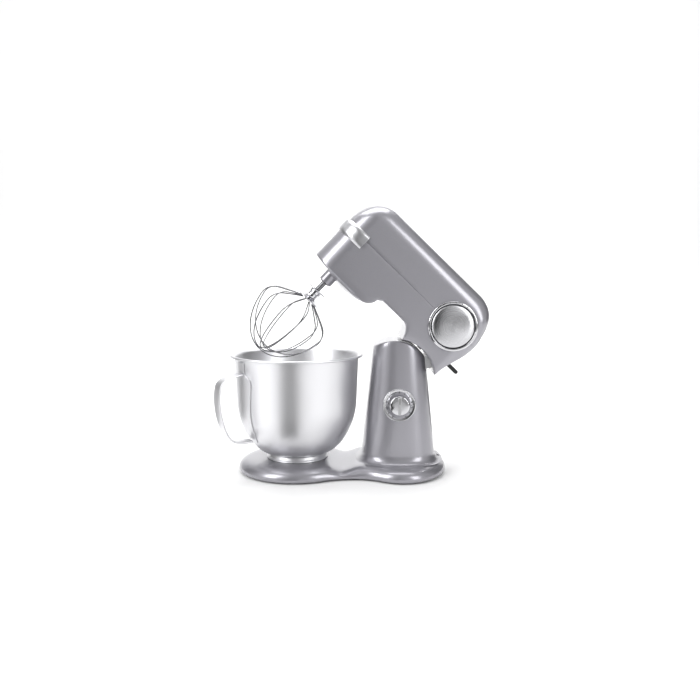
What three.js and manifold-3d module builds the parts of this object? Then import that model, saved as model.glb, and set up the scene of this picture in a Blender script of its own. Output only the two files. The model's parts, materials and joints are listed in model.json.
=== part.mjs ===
// A tilt-head stand mixer with its head raised: pedestal, tilting head with motor, belt and
// planetary drive, wire whisk, steel bowl with a strap handle, speed dial and power outlet.
// Millimetres, +Z up, -X is the front (the bowl side), the plane Y = 0 splits the machine in two.
// While it is built, X = 0 is the head's hinge axis and Z = 0 is the table. The head is drawn
// closed, about its own origin on the hinge axis, and the head group then tilts it open.
import * as THREE from "three";
import { mergeVertices } from "three/addons/utils/BufferGeometryUtils.js";
import Module from "manifold-3d";

// ---- Driving dimensions -------------------------------------------------------------------
const HEAD_TILT = 44; // degrees that the head stands open
const HINGE_HEIGHT = 169; // hinge axis above the table
const BOWL_REACH = 168; // hinge axis to the bowl's axis
const GAP = 0.3; // between two pieces that touch
const RUN = 0.35; // between a turning piece and the piece around it

// Pedestal: a figure-of-eight base with the column on its rear lobe
const FRONT_LOBE_RADIUS = 102;
const REAR_LOBE_CENTRE = 12; // behind the hinge axis
const REAR_LOBE_LENGTH = 79; // half length
const REAR_LOBE_WIDTH = 102.5; // half width
const LOBE_LEAVE = 62; // degrees from the long axis where the waist leaves each lobe
const LOBE_STEPS = 9; // facets of each half lobe
const WAIST_PULL = 31; // how far the waist curves reach inwards
const BASE_TOP = 22.7;
const WAIST_TOP = 13; // top of the base halfway between the lobes
const WAIST_CENTRE = -86;
const WAIST_ARCH = 45; // radius of the dip between the lobes
const BASE_UNDERSIDE = 2.6;
const PEDESTAL_WALL = 3.5;
const COLUMN_CENTRE = 8.5; // behind the hinge axis
const COLUMN_FOOT_LENGTH = 66.8; // half length, at the table
const COLUMN_FOOT_WIDTH = 64; // half width, at the table
const COLUMN_TAPER_X = 0.103; // half length lost for each millimetre of height
const COLUMN_TAPER_Y = 0.065; // half width lost for each millimetre of height
const COLUMN_SQUARENESS = 2.6; // 2 is an ellipse
const BARREL_RADIUS = 61.5; // the column's round top, about the hinge axis
const FOOT_RADIUS = 11;
const PLATE_THICKNESS = 2;

// Hinge
const PIN_RADIUS = 6;
const BUSH_WALL = 3.1;
const RIB_THICKNESS = 7; // the two inner walls that carry the pin
const KNUCKLE_HALF_WIDTH = 22;
const KNUCKLE_RADIUS = 15;
const ARM_ANGLE = 66; // direction of the head's arm from the hinge axis, head closed
const ARM_HALF_ANGLE = 10;
const SHROUD_RADIUS = 50; // curved shield that keeps the slot in the barrel shut

// Head casing
const SKIRT_GAP = 4; // between the barrel and the head's round skirt
const HEAD_NOSE = 238.5; // hinge axis to the front face
const HEAD_TAIL = 62.3; // hinge axis to the rearmost point
const HEAD_TOP = 198;
const HEAD_HALF_WIDTH = 58;
const HEAD_EDGE_RADIUS = 30; // long top edges
const HEAD_NOSE_RADIUS = 38; // front corners, seen from above
const HEAD_TAIL_RADIUS = 28; // rear corners, seen from above
const HEAD_WALL = 3;
const PARTING = 128; // height of the joint between the cover and the lower housing
const JAW = 56; // lowest point of the front face
const DRUM_FLOOR = 52.5; // underside round the planetary hub
const DRUM_BACK = 55.5; // planetary axis to the back of the drum
const NECK_ROOF = 77.6; // underside between the drum and the skirt

// Side caps and power outlet
const CAP_X = 7.3;
const CAP_RADIUS = 35.3;
const CAP_RING_RADIUS = 42;
const CAP_RISE = 6.5;
const OUTLET_HEIGHT = 124.5; // outlet axis above the hinge axis
const OUTLET_COVER_HEIGHT = 42.5;
const OUTLET_COVER_PROUD = 3.6;
const OUTLET_COVER_REACH = 47; // how far its arms run back along the flanks
const SOCKET_RADIUS = 13;
const SOCKET_SQUARE = 10; // across the flats

// Drive
const GEAR_MODULE = 2;
const RING_TEETH = 44;
const PLANET_TEETH = 16;
const GEAR_FACE = 9;
const HUB_RADIUS = 40;
const HUB_TOP = 58;
const HUB_FOOT = 31.4;
const SPINDLE_RADIUS = 4.5;
const SPINDLE_BOSS_RADIUS = 12;
const SPINDLE_BUSH_WALL = 2.05;
const MAIN_SHAFT_RADIUS = 8;
const BEARING_RADIUS = 14;
const BEARING_HEIGHT = 7;
const BELT_HEIGHT = 96; // lower edge of the belt
const BELT_WIDTH = 9;
const BELT_THICKNESS = 2.4;
const DRIVE_PULLEY_RADIUS = 42;
const MOTOR_PULLEY_RADIUS = 8;
const MOTOR_BACK = 48; // motor axis ahead of the hinge axis
const MOTOR_RADIUS = 34;
const MOTOR_BASE = 110;
const MOTOR_HEIGHT = 60;
const ROTOR_RADIUS = 24;
const ROTOR_SHAFT_RADIUS = 4;
const CROWN_RADIUS = 31;
const CROWN_TEETH = 36;
const OUTLET_TEETH = 12;
const OUTLET_GEAR_RADIUS = 9;

// Whisk
const COLLAR_TOP = 13.8;
const COLLAR_FOOT = -9.9;
const WHISK_RADIUS = 67;
const WHISK_SHOULDER = -41;
const WHISK_TIP = -130.5;
const WHISK_LOOPS = 6;
const WIRE_RADIUS = 1;

// Bowl and its handle
const BOWL_RIM_HEIGHT = 205;
const BOWL_RIM_RADIUS = 115;
const BOWL_RADIUS = 107; // just under the rim
const BOWL_TAPER = 3.5; // radius lost from the rim to where the round bottom starts
const BOWL_BELLY = 118; // height where the round bottom starts
const BOWL_FLOOR = 32;
const BOWL_FLOOR_RADIUS = 50;
const BOWL_WALL = 1.5;
const BOWL_FOOT_RADIUS = 54;
const HANDLE_DIRECTION = 34.8; // degrees round from -X towards -Y
const HANDLE_REACH = 150; // bowl axis to the grip
const HANDLE_WIDTH = 22;
const HANDLE_THICKNESS = 3;

// Speed dial
const DIAL_X = 7;
const DIAL_HEIGHT = 123;
const BEZEL_RADIUS = 28.2;
const BEZEL_DEPTH = 6;
const KNOB_RADIUS = 17.6;
const KNOB_HEIGHT = 13;

const ROUND = 20; // facets of a plain round piece
const FINE_ROUND = 32; // facets of a large round piece
const BOWL_ROUND = 44; // facets of the bowl

// ---- Worked out from the driving dimensions --------------------------------------------------
const rad = THREE.MathUtils.degToRad;
const SKIRT_RADIUS = BARREL_RADIUS + SKIRT_GAP;
const ORBIT = (GEAR_MODULE * (RING_TEETH - PLANET_TEETH)) / 2;
const SPINDLE_X = -BOWL_REACH - ORBIT;
const GEAR_FOOT = HUB_TOP + 6;
const CARRIER_FOOT = GEAR_FOOT + GEAR_FACE + 4;
const COVER_LOW = OUTLET_HEIGHT - OUTLET_COVER_HEIGHT / 2;
const COVER_HIGH = OUTLET_HEIGHT + OUTLET_COVER_HEIGHT / 2;
const LEVER_HEIGHT = 77.7;
const LEVER_PIVOT = 34;
const RIB_INNER = KNUCKLE_HALF_WIDTH + 3;
const columnLength = (z) => COLUMN_FOOT_LENGTH - COLUMN_TAPER_X * z;
const columnWidth = (z) => COLUMN_FOOT_WIDTH - COLUMN_TAPER_Y * z;

// ---- Materials ----------------------------------------------------------------------------
const finish = (color, metalness, roughness) =>
  new THREE.MeshStandardMaterial({ color, metalness, roughness });
const PAINT = finish(0x9c9ba1, 0.6, 0.35);
const STEEL = finish(0xc8c8cb, 1, 0.12);
const BRUSHED = finish(0xcfcfd2, 0.9, 0.3);
const CHROME = finish(0xe2e2e6, 1, 0.08);
const CAST = finish(0x8d8e90, 0.8, 0.5);
const BLACK = finish(0x1d1d20, 0, 0.5);
const RUBBER = finish(0x252527, 0, 0.9);
const BRONZE = finish(0xb08a4f, 0.8, 0.4);
const NYLON = finish(0xe6e2d6, 0, 0.6);
const COPPER = finish(0x9a5a34, 0.7, 0.45);
const BOARD = finish(0x2f6b45, 0, 0.6);

// ---- Solids -------------------------------------------------------------------------------
const wasm = await Module();
wasm.setup();

// A closed geometry as a solid, with its faces turned out.
function solid(geometry) {
  const flat = geometry.index ? geometry.toNonIndexed() : geometry;
  const bare = new THREE.BufferGeometry();
  bare.setAttribute("position", flat.getAttribute("position"));
  const merged = mergeVertices(bare, 1e-4);
  const index = merged.index.array;
  const build = (flip) => {
    const corners = [];
    for (let i = 0; i < index.length; i += 3) {
      const [a, b, c] = [index[i], index[i + 1], index[i + 2]];
      if (a !== b && b !== c && c !== a) corners.push(a, flip ? c : b, flip ? b : c);
    }
    return new wasm.Manifold(
      new wasm.Mesh({
        numProp: 3,
        vertProperties: new Float32Array(merged.attributes.position.array),
        triVerts: new Uint32Array(corners),
      }),
    );
  };
  const made = build(false);
  return made.volume() < 0 ? build(true) : made;
}

function geometryOf(made) {
  const mesh = made.getMesh();
  const positions = new Float32Array(mesh.numVert * 3);
  for (let i = 0; i < mesh.numVert; i++)
    positions.set(mesh.vertProperties.subarray(i * mesh.numProp, i * mesh.numProp + 3), i * 3);
  const geometry = new THREE.BufferGeometry();
  geometry.setAttribute("position", new THREE.BufferAttribute(positions, 3));
  geometry.setIndex(new THREE.BufferAttribute(new Uint32Array(mesh.triVerts), 1));
  return geometry;
}

const join = (first, ...rest) => rest.reduce((sum, next) => sum.add(next), first);
const cut = (first, ...rest) => rest.reduce((sum, next) => sum.subtract(next), first);
const common = (first, ...rest) => rest.reduce((sum, next) => sum.intersect(next), first);

// The profile of a plain tube.
const tube = (inner, outer, low, high) => [
  [inner, low],
  [outer, low],
  [outer, high],
  [inner, high],
];

// The geometry of an outline drawn in (X, Y) and raised from z0 to z1.
function raised(outline, z0, z1) {
  const shape = outline instanceof THREE.Shape ? outline : new THREE.Shape(outline);
  const settings = { depth: z1 - z0, bevelEnabled: false, curveSegments: 12 };
  return new THREE.ExtrudeGeometry(shape, settings).translate(0, 0, z0);
}

// An outline drawn in (X, Z), drawn out along Y.
const alongY = (outline, y0, y1) => raised(outline, -y1, -y0).rotateX(Math.PI / 2);

// An outline drawn in (Y, Z), drawn out along X.
const cycle = new THREE.Matrix4().set(0, 0, 1, 0, 1, 0, 0, 0, 0, 1, 0, 0, 0, 0, 0, 1);
const alongX = (outline, x0, x1) => raised(outline, x0, x1).applyMatrix4(cycle);

// A profile of [radius, z] pairs turned about Z.
function turned(profile, facets = ROUND) {
  const points = profile.map(([r, z]) => new THREE.Vector2(r, z));
  points.push(points[0].clone());
  return new THREE.LatheGeometry(points, facets).rotateX(Math.PI / 2);
}

function disc(radius, z0, z1, facets = ROUND) {
  const middle = (z0 + z1) / 2;
  const upright = new THREE.CylinderGeometry(radius, radius, z1 - z0, facets).rotateX(Math.PI / 2);
  return upright.translate(0, 0, middle);
}

const rodX = (radius, x0, x1, facets = ROUND) => disc(radius, x0, x1, facets).rotateY(Math.PI / 2);
const rodY = (radius, y0, y1, facets = ROUND) => disc(radius, -y1, -y0, facets).rotateX(Math.PI / 2);

const block = (x0, x1, y0, y1, z0, z1) =>
  new THREE.BoxGeometry(x1 - x0, y1 - y0, z1 - z0).translate((x0 + x1) / 2, (y0 + y1) / 2, (z0 + z1) / 2);

// A skin over a stack of rings with equally many points, closed at both ends.
function lofted(rings) {
  const count = rings[0].length;
  const positions = rings.flat().flatMap((p) => [p.x, p.y, p.z]);
  const corners = [];
  for (let level = 0; level + 1 < rings.length; level++)
    for (let i = 0; i < count; i++) {
      const next = (i + 1) % count;
      const [a, b] = [level * count + i, level * count + next];
      corners.push(a, b, b + count, a, b + count, a + count);
    }
  for (const [level, bottom] of [[0, true], [rings.length - 1, false]]) {
    const flatRing = rings[level].map((p) => new THREE.Vector2(p.x, p.y));
    for (const [a, b, c] of THREE.ShapeUtils.triangulateShape(flatRing, [])) {
      const face = [a, b, c].map((i) => level * count + i);
      corners.push(...(bottom ? [face[0], face[2], face[1]] : face));
    }
  }
  const geometry = new THREE.BufferGeometry();
  geometry.setAttribute("position", new THREE.Float32BufferAttribute(positions, 3));
  geometry.setIndex(corners);
  return geometry;
}

// A closed outline moved inwards by a distance, corner by corner.
function inset(points, distance) {
  const turn = Math.sign(THREE.ShapeUtils.area(points));
  const count = points.length;
  return points.map((point, i) => {
    const before = points[(i + count - 1) % count];
    const after = points[(i + 1) % count];
    const a = point.clone().sub(before).normalize();
    const b = after.clone().sub(point).normalize();
    const inward = new THREE.Vector2(-a.y - b.y, a.x + b.x).normalize().multiplyScalar(turn);
    const spread = Math.max(0.5, inward.dot(new THREE.Vector2(-a.y, a.x).multiplyScalar(turn)));
    return point.clone().add(inward.multiplyScalar(distance / spread));
  });
}

// Points on a shape's edge without repeats.
function edgeOf(shape, divisions) {
  const points = shape.getPoints(divisions);
  return points.filter((p, i) => p.distanceTo(points[(i + 1) % points.length]) > 1e-3);
}

function roundedBox(x0, x1, y0, y1, frontRadius, rearRadius) {
  const shape = new THREE.Shape();
  shape.moveTo(x0 + frontRadius, y0);
  shape.lineTo(x1 - rearRadius, y0);
  if (rearRadius > 0) shape.absarc(x1 - rearRadius, y0 + rearRadius, rearRadius, -Math.PI / 2, 0);
  shape.lineTo(x1, y1 - rearRadius);
  if (rearRadius > 0) shape.absarc(x1 - rearRadius, y1 - rearRadius, rearRadius, 0, Math.PI / 2);
  shape.lineTo(x0 + frontRadius, y1);
  shape.absarc(x0 + frontRadius, y1 - frontRadius, frontRadius, Math.PI / 2, Math.PI);
  shape.lineTo(x0, y0 + frontRadius);
  shape.absarc(x0 + frontRadius, y0 + frontRadius, frontRadius, Math.PI, 1.5 * Math.PI);
  return shape;
}

function piece(name, shape, material) {
  const made = shape.isBufferGeometry ? solid(shape) : shape;
  const mesh = new THREE.Mesh(geometryOf(made), material);
  mesh.name = name;
  return mesh;
}

// ---- Pedestal -----------------------------------------------------------------------------
// A point on an upright ellipse, by its angle from +X.
const onEllipse = (centre, length, width, turn) =>
  new THREE.Vector2(centre + length * Math.cos(turn), width * Math.sin(turn));

// Half of the base's plan runs round the front lobe, along the waist and round the rear lobe.
function baseOutline() {
  const leave = rad(LOBE_LEAVE);
  const onFront = (turn) => onEllipse(-BOWL_REACH, FRONT_LOBE_RADIUS, FRONT_LOBE_RADIUS, turn);
  const onRear = (turn) => onEllipse(REAR_LOBE_CENTRE, REAR_LOBE_LENGTH, REAR_LOBE_WIDTH, turn);
  const [front, rear] = [onFront(leave), onRear(Math.PI - leave)];
  const frontWay = onEllipse(0, 1, 1, leave - Math.PI / 2);
  const rearWay = onEllipse(0, REAR_LOBE_LENGTH, REAR_LOBE_WIDTH, Math.PI / 2 - leave).normalize();
  const waist = new THREE.CubicBezierCurve(
    front,
    front.clone().addScaledVector(frontWay, WAIST_PULL),
    rear.clone().addScaledVector(rearWay, -WAIST_PULL),
    rear,
  );
  const half = [];
  const step = (Math.PI - leave) / LOBE_STEPS;
  for (let i = 0; i <= LOBE_STEPS; i++) half.push(onFront(Math.PI - step * i));
  half.push(...waist.getPoints(5).slice(1));
  for (let i = 1; i <= LOBE_STEPS; i++) half.push(onRear(Math.PI - leave - step * i));
  const other = half.slice(1, -1).reverse();
  return [...half, ...other.map((p) => new THREE.Vector2(p.x, -p.y))].reverse();
}

// The base's edge in section: [distance in from the plan, height].
const BASE_SECTION = [
  [2.5, BASE_UNDERSIDE],
  [0, 7],
  [2.6, 14],
  [6.5, 18.6],
  [13, 21.6],
  [27, BASE_TOP],
];

function basePlan(distance, z) {
  return inset(baseOutline(), distance).map((p) => new THREE.Vector3(p.x, p.y, z));
}

function columnRing(z, growth) {
  const ring = [];
  const power = 2 / COLUMN_SQUARENESS;
  for (let i = 0; i < FINE_ROUND; i++) {
    const turn = (2 * Math.PI * i) / FINE_ROUND;
    const [c, s] = [Math.cos(turn), Math.sin(turn)];
    const x = Math.sign(c) * Math.abs(c) ** power * (columnLength(z) + growth);
    const y = Math.sign(s) * Math.abs(s) ** power * (columnWidth(z) + growth);
    ring.push(new THREE.Vector3(COLUMN_CENTRE + x, y, z));
  }
  return ring;
}

// Everything under the round top of radius r about the hinge axis.
function underBarrel(r) {
  const shape = new THREE.Shape();
  const side = COLUMN_FOOT_LENGTH * 2;
  shape.moveTo(-side, -10);
  shape.lineTo(side, -10);
  shape.lineTo(side, HINGE_HEIGHT);
  shape.lineTo(r, HINGE_HEIGHT);
  shape.absarc(0, HINGE_HEIGHT, r, 0, Math.PI);
  shape.lineTo(-side, HINGE_HEIGHT);
  return solid(alongY(edgeOf(shape, 28), -COLUMN_FOOT_WIDTH * 1.5, COLUMN_FOOT_WIDTH * 1.5));
}

// A block of the ring between two radii and two angles about the origin, drawn in (X, Z).
function sector(inner, outer, from, to, halfWidth) {
  const shape = new THREE.Shape();
  shape.absarc(0, 0, outer, rad(from), rad(to), false);
  shape.absarc(0, 0, inner, rad(to), rad(from), true);
  return alongY(edgeOf(shape, 16), -halfWidth, halfWidth);
}

// Turns a piece drawn along Z into the dial's direction: out of the column's left flank.
const FLANK_LEAN = Math.atan(COLUMN_TAPER_Y);
const BEZEL_SEAT = columnWidth(DIAL_HEIGHT) - BEZEL_DEPTH + 1;
function onFlank(geometry) {
  return geometry.rotateX(Math.PI / 2 - FLANK_LEAN).translate(DIAL_X, -BEZEL_SEAT, DIAL_HEIGHT);
}

const INLET_HEIGHT = 20.5;
const INLET_RADIUS = 4.5;
const INLET_BORE = 3.3;

// The fillet at the column's foot: [height, growth of the column's outline].
const COLUMN_FILLET = [
  [14, 10],
  [BASE_TOP - 2, 9],
  [BASE_TOP + 1.5, 5],
  [BASE_TOP + 6, 2],
  [BASE_TOP + 13, 0],
];

function pedestalCasting() {
  const high = HINGE_HEIGHT + BARREL_RADIUS + 5;
  const column = common(
    solid(lofted([...COLUMN_FILLET.map(([z, growth]) => columnRing(z, growth)), columnRing(high, 0)])),
    underBarrel(BARREL_RADIUS),
  );
  const reach = FRONT_LOBE_RADIUS + 20;
  const dipAxis = WAIST_TOP + WAIST_ARCH;
  const dip = (radius) => solid(rodY(radius, -reach, reach, 48).translate(WAIST_CENTRE, 0, dipAxis));
  const slab = solid(lofted(BASE_SECTION.map(([distance, z]) => basePlan(distance, z))));
  const base = cut(slab, dip(WAIST_ARCH));
  const columnHollow = common(
    solid(lofted([columnRing(8, -PEDESTAL_WALL), columnRing(high, -PEDESTAL_WALL)])),
    underBarrel(BARREL_RADIUS - PEDESTAL_WALL),
  );
  const baseHollow = cut(
    solid(
      lofted([
        basePlan(PEDESTAL_WALL + 3, 0),
        basePlan(PEDESTAL_WALL + 3, 8),
        basePlan(PEDESTAL_WALL + 26, BASE_TOP - PEDESTAL_WALL),
      ]),
    ),
    dip(WAIST_ARCH + PEDESTAL_WALL),
  );
  const shell = cut(join(column, base), columnHollow, baseHollow);
  const ribLow = HINGE_HEIGHT - 28;
  const ribs = [-1, 1].map((side) => {
    const [near, far] = [side * RIB_INNER, side * (RIB_INNER + RIB_THICKNESS)];
    return solid(block(-90, 90, Math.min(near, far), Math.max(near, far), ribLow, high));
  });
  const within = common(
    solid(lofted([columnRing(8, -1), columnRing(high, -1)])),
    underBarrel(BARREL_RADIUS - 1),
  );
  const slotLow = ARM_ANGLE - ARM_HALF_ANGLE - HEAD_TILT - 2;
  const slotHigh = ARM_ANGLE + ARM_HALF_ANGLE + 2;
  const slot = sector(SHROUD_RADIUS - 12, BARREL_RADIUS + 9, slotLow, slotHigh, RIB_INNER);
  const holeReach = RIB_INNER + RIB_THICKNESS + 5;
  const pinHole = rodY(PIN_RADIUS + BUSH_WALL + GAP, -holeReach, holeReach);
  const bezelSeat = solid(onFlank(disc(BEZEL_RADIUS + GAP, 0, 30, FINE_ROUND)));
  const bezelPad = common(solid(onFlank(disc(BEZEL_RADIUS + 3, -5, -0.01, FINE_ROUND))), within);
  const switchHole = solid(onFlank(disc(8, -20, 5)));
  const inletHole = solid(rodX(INLET_RADIUS + GAP, 40, 120).translate(0, 0, INLET_HEIGHT));
  return cut(
    join(shell, ...ribs.map((rib) => common(rib, within)), bezelPad),
    solid(slot.translate(0, 0, HINGE_HEIGHT)),
    solid(pinHole.translate(0, 0, HINGE_HEIGHT)),
    bezelSeat,
    switchHole,
    inletHole,
  );
}

function dialBezel() {
  const profile = [
    [6.5, 0],
    [BEZEL_RADIUS, 0],
    [BEZEL_RADIUS, BEZEL_DEPTH - 2],
    [BEZEL_RADIUS - 2, BEZEL_DEPTH],
    [KNOB_RADIUS + 4, BEZEL_DEPTH - 1.4],
    [KNOB_RADIUS + 1, BEZEL_DEPTH - 3],
    [6.5, BEZEL_DEPTH - 3],
  ];
  return onFlank(turned(profile, FINE_ROUND));
}

// The knob has a raised bar across its face as its pointer, and a stem that enters the switch.
function speedDial() {
  const floor = BEZEL_DEPTH - 3 + GAP;
  const top = floor + KNOB_HEIGHT;
  const side = [
    [0, floor],
    [KNOB_RADIUS, floor],
    [KNOB_RADIUS - 0.8, top - 2],
    [KNOB_RADIUS - 3, top],
    [0, top],
  ];
  const knob = turned(side, FINE_ROUND);
  const bar = block(-1.6, 1.6, -KNOB_RADIUS + 4, KNOB_RADIUS - 3.4, top - 1, top + 2.4);
  const stem = disc(3, -14, floor + 1, 16);
  return onFlank(geometryOf(join(solid(knob), solid(bar), solid(stem))));
}

function rotarySwitch() {
  const body = block(-15, 15, -15, 15, -PEDESTAL_WALL - 17, -PEDESTAL_WALL - 3);
  return onFlank(geometryOf(cut(solid(body), solid(disc(3 + RUN, -40, 10, 16)))));
}

function controlBoard() {
  const [x, y] = [COLUMN_CENTRE - 30, 20];
  const board = solid(block(x, x + 60, y, y + 1.8, 45, 115));
  const capacitor = solid(rodY(9, y + 1, y + 22, 20).translate(x + 18, 0, 95));
  const choke = solid(block(x + 34, x + 52, y + 1, y + 16, 55, 75));
  return join(board, capacitor, choke);
}

function cordInlet() {
  const flange = REAR_LOBE_CENTRE + REAR_LOBE_LENGTH - 33;
  const [neck, mouth] = [flange + 3, flange + 23.5];
  const sleeve = turned([
    [INLET_BORE, flange],
    [INLET_RADIUS + 2.5, flange],
    [INLET_RADIUS + 2.5, neck],
    [INLET_RADIUS, neck],
    [INLET_RADIUS, mouth - 2.5],
    [INLET_BORE + 0.5, mouth],
    [INLET_BORE, mouth],
  ]);
  return sleeve.rotateY(Math.PI / 2).translate(0, 0, INLET_HEIGHT);
}

function basePlate() {
  const outline = inset(baseOutline(), PEDESTAL_WALL + 3 + GAP);
  const z = BASE_UNDERSIDE + GAP;
  return raised(outline, z, z + PLATE_THICKNESS);
}

const FEET = [
  [-BOWL_REACH - 62, 48],
  [-BOWL_REACH - 62, -48],
  [REAR_LOBE_CENTRE + 30, 66],
  [REAR_LOBE_CENTRE + 30, -66],
];

// The plate inside the bowl's foot that the bowl turns and locks onto, with three lugs.
function bowlSeat() {
  const low = BASE_TOP + GAP;
  const lugs = [0, 120, 240].map((angle) =>
    solid(block(-5, 5, 30, BOWL_FOOT_RADIUS - 4.6, low, low + 3).rotateZ(rad(angle))),
  );
  return join(solid(turned([[0, low], [46, low], [44, low + 4.5], [0, low + 4.5]])), ...lugs).subtract(
    solid(disc(5, 0, 60, 16)),
  );
}

function hingePin() {
  const half = RIB_INNER + RIB_THICKNESS + 3;
  return rodY(PIN_RADIUS, -half, half, ROUND).translate(0, 0, HINGE_HEIGHT);
}

function hingeBush(side) {
  const [near, far] = [RIB_INNER - 1, RIB_INNER + RIB_THICKNESS + 1];
  const [low, high] = side < 0 ? [-far, -near] : [near, far];
  const bush = turned(tube(PIN_RADIUS + RUN, PIN_RADIUS + BUSH_WALL, low, high));
  return bush.rotateX(Math.PI / 2).translate(0, 0, HINGE_HEIGHT);
}

// ---- Bowl ---------------------------------------------------------------------------------
// The outside of the bowl, from the middle of its floor to under the rim, as [radius, z] pairs.
function bowlSkin(offset) {
  const points = [[0, BOWL_FLOOR - offset], [BOWL_FLOOR_RADIUS, BOWL_FLOOR + 0.6 - offset]];
  const belly = BOWL_RADIUS - BOWL_TAPER;
  const start = new THREE.Vector2(BOWL_FLOOR_RADIUS, BOWL_FLOOR + 0.6);
  const end = new THREE.Vector2(belly, BOWL_BELLY);
  const curve = new THREE.CubicBezierCurve(
    start,
    new THREE.Vector2(BOWL_FLOOR_RADIUS + 26, BOWL_FLOOR + 4),
    new THREE.Vector2(belly - 3.5, BOWL_BELLY - 42),
    end,
  );
  for (let i = 1; i <= 6; i++) {
    const p = curve.getPoint(i / 6);
    const way = curve.getTangent(i / 6);
    points.push([p.x + way.y * offset, p.y - way.x * offset]);
  }
  points.push([BOWL_RADIUS + offset, BOWL_RIM_HEIGHT - 6]);
  return points;
}

function bowlShell() {
  const outside = bowlSkin(0);
  const inside = bowlSkin(-BOWL_WALL).reverse();
  const rim = [
    [BOWL_RIM_RADIUS - 2, BOWL_RIM_HEIGHT - 2.6],
    [BOWL_RIM_RADIUS, BOWL_RIM_HEIGHT - 1.2],
    [BOWL_RIM_RADIUS - 1, BOWL_RIM_HEIGHT],
    [BOWL_RADIUS + 1, BOWL_RIM_HEIGHT - 2],
  ];
  return turned([...outside, ...rim, ...inside], BOWL_ROUND);
}

function bowlFoot() {
  const top = BOWL_FLOOR - GAP;
  const low = BASE_TOP + GAP;
  return turned(
    [
      [BOWL_FLOOR_RADIUS + 1, low],
      [BOWL_FOOT_RADIUS, low],
      [BOWL_FOOT_RADIUS, low + 1.5],
      [BOWL_FOOT_RADIUS - 2.4, low + 4],
      [BOWL_FLOOR_RADIUS, top],
      [BOWL_FLOOR_RADIUS - 2.5, top],
    ],
    BOWL_ROUND,
  );
}

// The strap's middle line in the plane through the bowl's axis, as (radius, z).
function handleLine() {
  const reach = HANDLE_REACH;
  return new THREE.CatmullRomCurve3(
    [
      [BOWL_RADIUS + 1.6, 177.5],
      [reach - 12, 170.5],
      [reach - 3.5, 163],
      [reach, 148],
      [reach, 128],
      [reach - 3.5, 106],
      [reach - 9, 88],
      [reach - 16, 74],
      [reach - 26, 65.5],
      [reach - 40, 62.6],
      [88, 62.5],
    ].map(([r, z]) => new THREE.Vector3(r, 0, z)),
    false,
    "centripetal",
  );
}

function aroundBowl(geometry) {
  return geometry.rotateZ(Math.PI + rad(HANDLE_DIRECTION));
}

function bowlHandle() {
  const line = handleLine();
  const steps = 22;
  const [outer, inner] = [[], []];
  for (let i = 0; i <= steps; i++) {
    const p = line.getPoint(i / steps);
    const way = line.getTangent(i / steps);
    const side = new THREE.Vector2(-way.z, way.x).multiplyScalar(HANDLE_THICKNESS / 2);
    outer.push(new THREE.Vector2(p.x + side.x, p.z + side.y));
    inner.push(new THREE.Vector2(p.x - side.x, p.z - side.y));
  }
  const strap = alongY([...outer, ...inner.reverse()], -HANDLE_WIDTH / 2, HANDLE_WIDTH / 2);
  const skin = [[0, 0], ...plateSkin(PLATE_THICKNESS + GAP), [0, BOWL_RIM_HEIGHT]];
  const clear = solid(turned(skin, BOWL_ROUND));
  return cut(solid(aroundBowl(strap)), clear);
}

// The bowl's skin between the floor and the rim, moved out, for what lies on it.
function plateSkin(offset) {
  return bowlSkin(offset).slice(1);
}

// The bracket between the strap and the bowl: a narrow tab that widens into a shield.
function handlePlate() {
  const sheet = cut(
    solid(turned([[0, 30], ...plateSkin(PLATE_THICKNESS), [0, BOWL_RIM_HEIGHT - 6]], BOWL_ROUND)),
    solid(turned([[0, 20], ...plateSkin(GAP), [0, BOWL_RIM_HEIGHT]], BOWL_ROUND)),
  );
  const outline = new THREE.Shape();
  outline.moveTo(-11, 197);
  outline.lineTo(-11, 178);
  outline.lineTo(-27, 166);
  outline.lineTo(-16, 58);
  outline.lineTo(16, 58);
  outline.lineTo(27, 166);
  outline.lineTo(11, 178);
  outline.lineTo(11, 197);
  return common(sheet, solid(aroundBowl(alongX(outline, 50, 130))));
}

// ---- Head casing --------------------------------------------------------------------------
// The head's outline from the side as (X, Z) about the hinge axis, moved in by a distance.
function headSide(d) {
  const drum = -BOWL_REACH;
  const skirt = SKIRT_RADIUS + d;
  const skirtStart = rad(125) - (1.4 * d) / skirt;
  const tail = rad(48.7) + (1.2 * d) / skirt;
  const [nose, rear, top] = [-HEAD_NOSE + d, HEAD_TAIL - d, HEAD_TOP - d];
  const [floor, roof] = [DRUM_FLOOR + d, NECK_ROOF + d];
  const back = drum + DRUM_BACK - d;
  const shape = new THREE.Shape();
  shape.moveTo(nose, JAW + d);
  shape.lineTo(drum - HUB_RADIUS - 3, floor);
  shape.lineTo(drum + HUB_RADIUS - 2 - d, floor);
  shape.bezierCurveTo(back - 7, floor + 3.5, back - 1, floor + 10.5, back, floor + 19.5);
  shape.lineTo(back + 8, roof);
  shape.lineTo(-SKIRT_RADIUS + 6, roof);
  shape.bezierCurveTo(-47 + d, roof, -41 + d, 66, skirt * Math.cos(skirtStart), skirt * Math.sin(skirtStart));
  shape.absarc(0, 0, skirt, skirtStart, tail, true);
  shape.bezierCurveTo(43.5 - d, 80, rear, 100, rear, 131);
  shape.bezierCurveTo(rear, 170, rear - 20, top, 6, top);
  shape.lineTo(-HEAD_NOSE + 52, top);
  shape.bezierCurveTo(nose + 26, top, nose + 2, top - 22, nose, HEAD_TOP - 48);
  return edgeOf(shape, 9);
}

function headPlan(distance) {
  const half = HEAD_HALF_WIDTH - distance;
  return roundedBox(
    -HEAD_NOSE + distance,
    HEAD_TAIL - distance,
    -half,
    half,
    Math.max(HEAD_NOSE_RADIUS - distance, 1),
    Math.max(HEAD_TAIL_RADIUS - distance, 1),
  );
}

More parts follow.
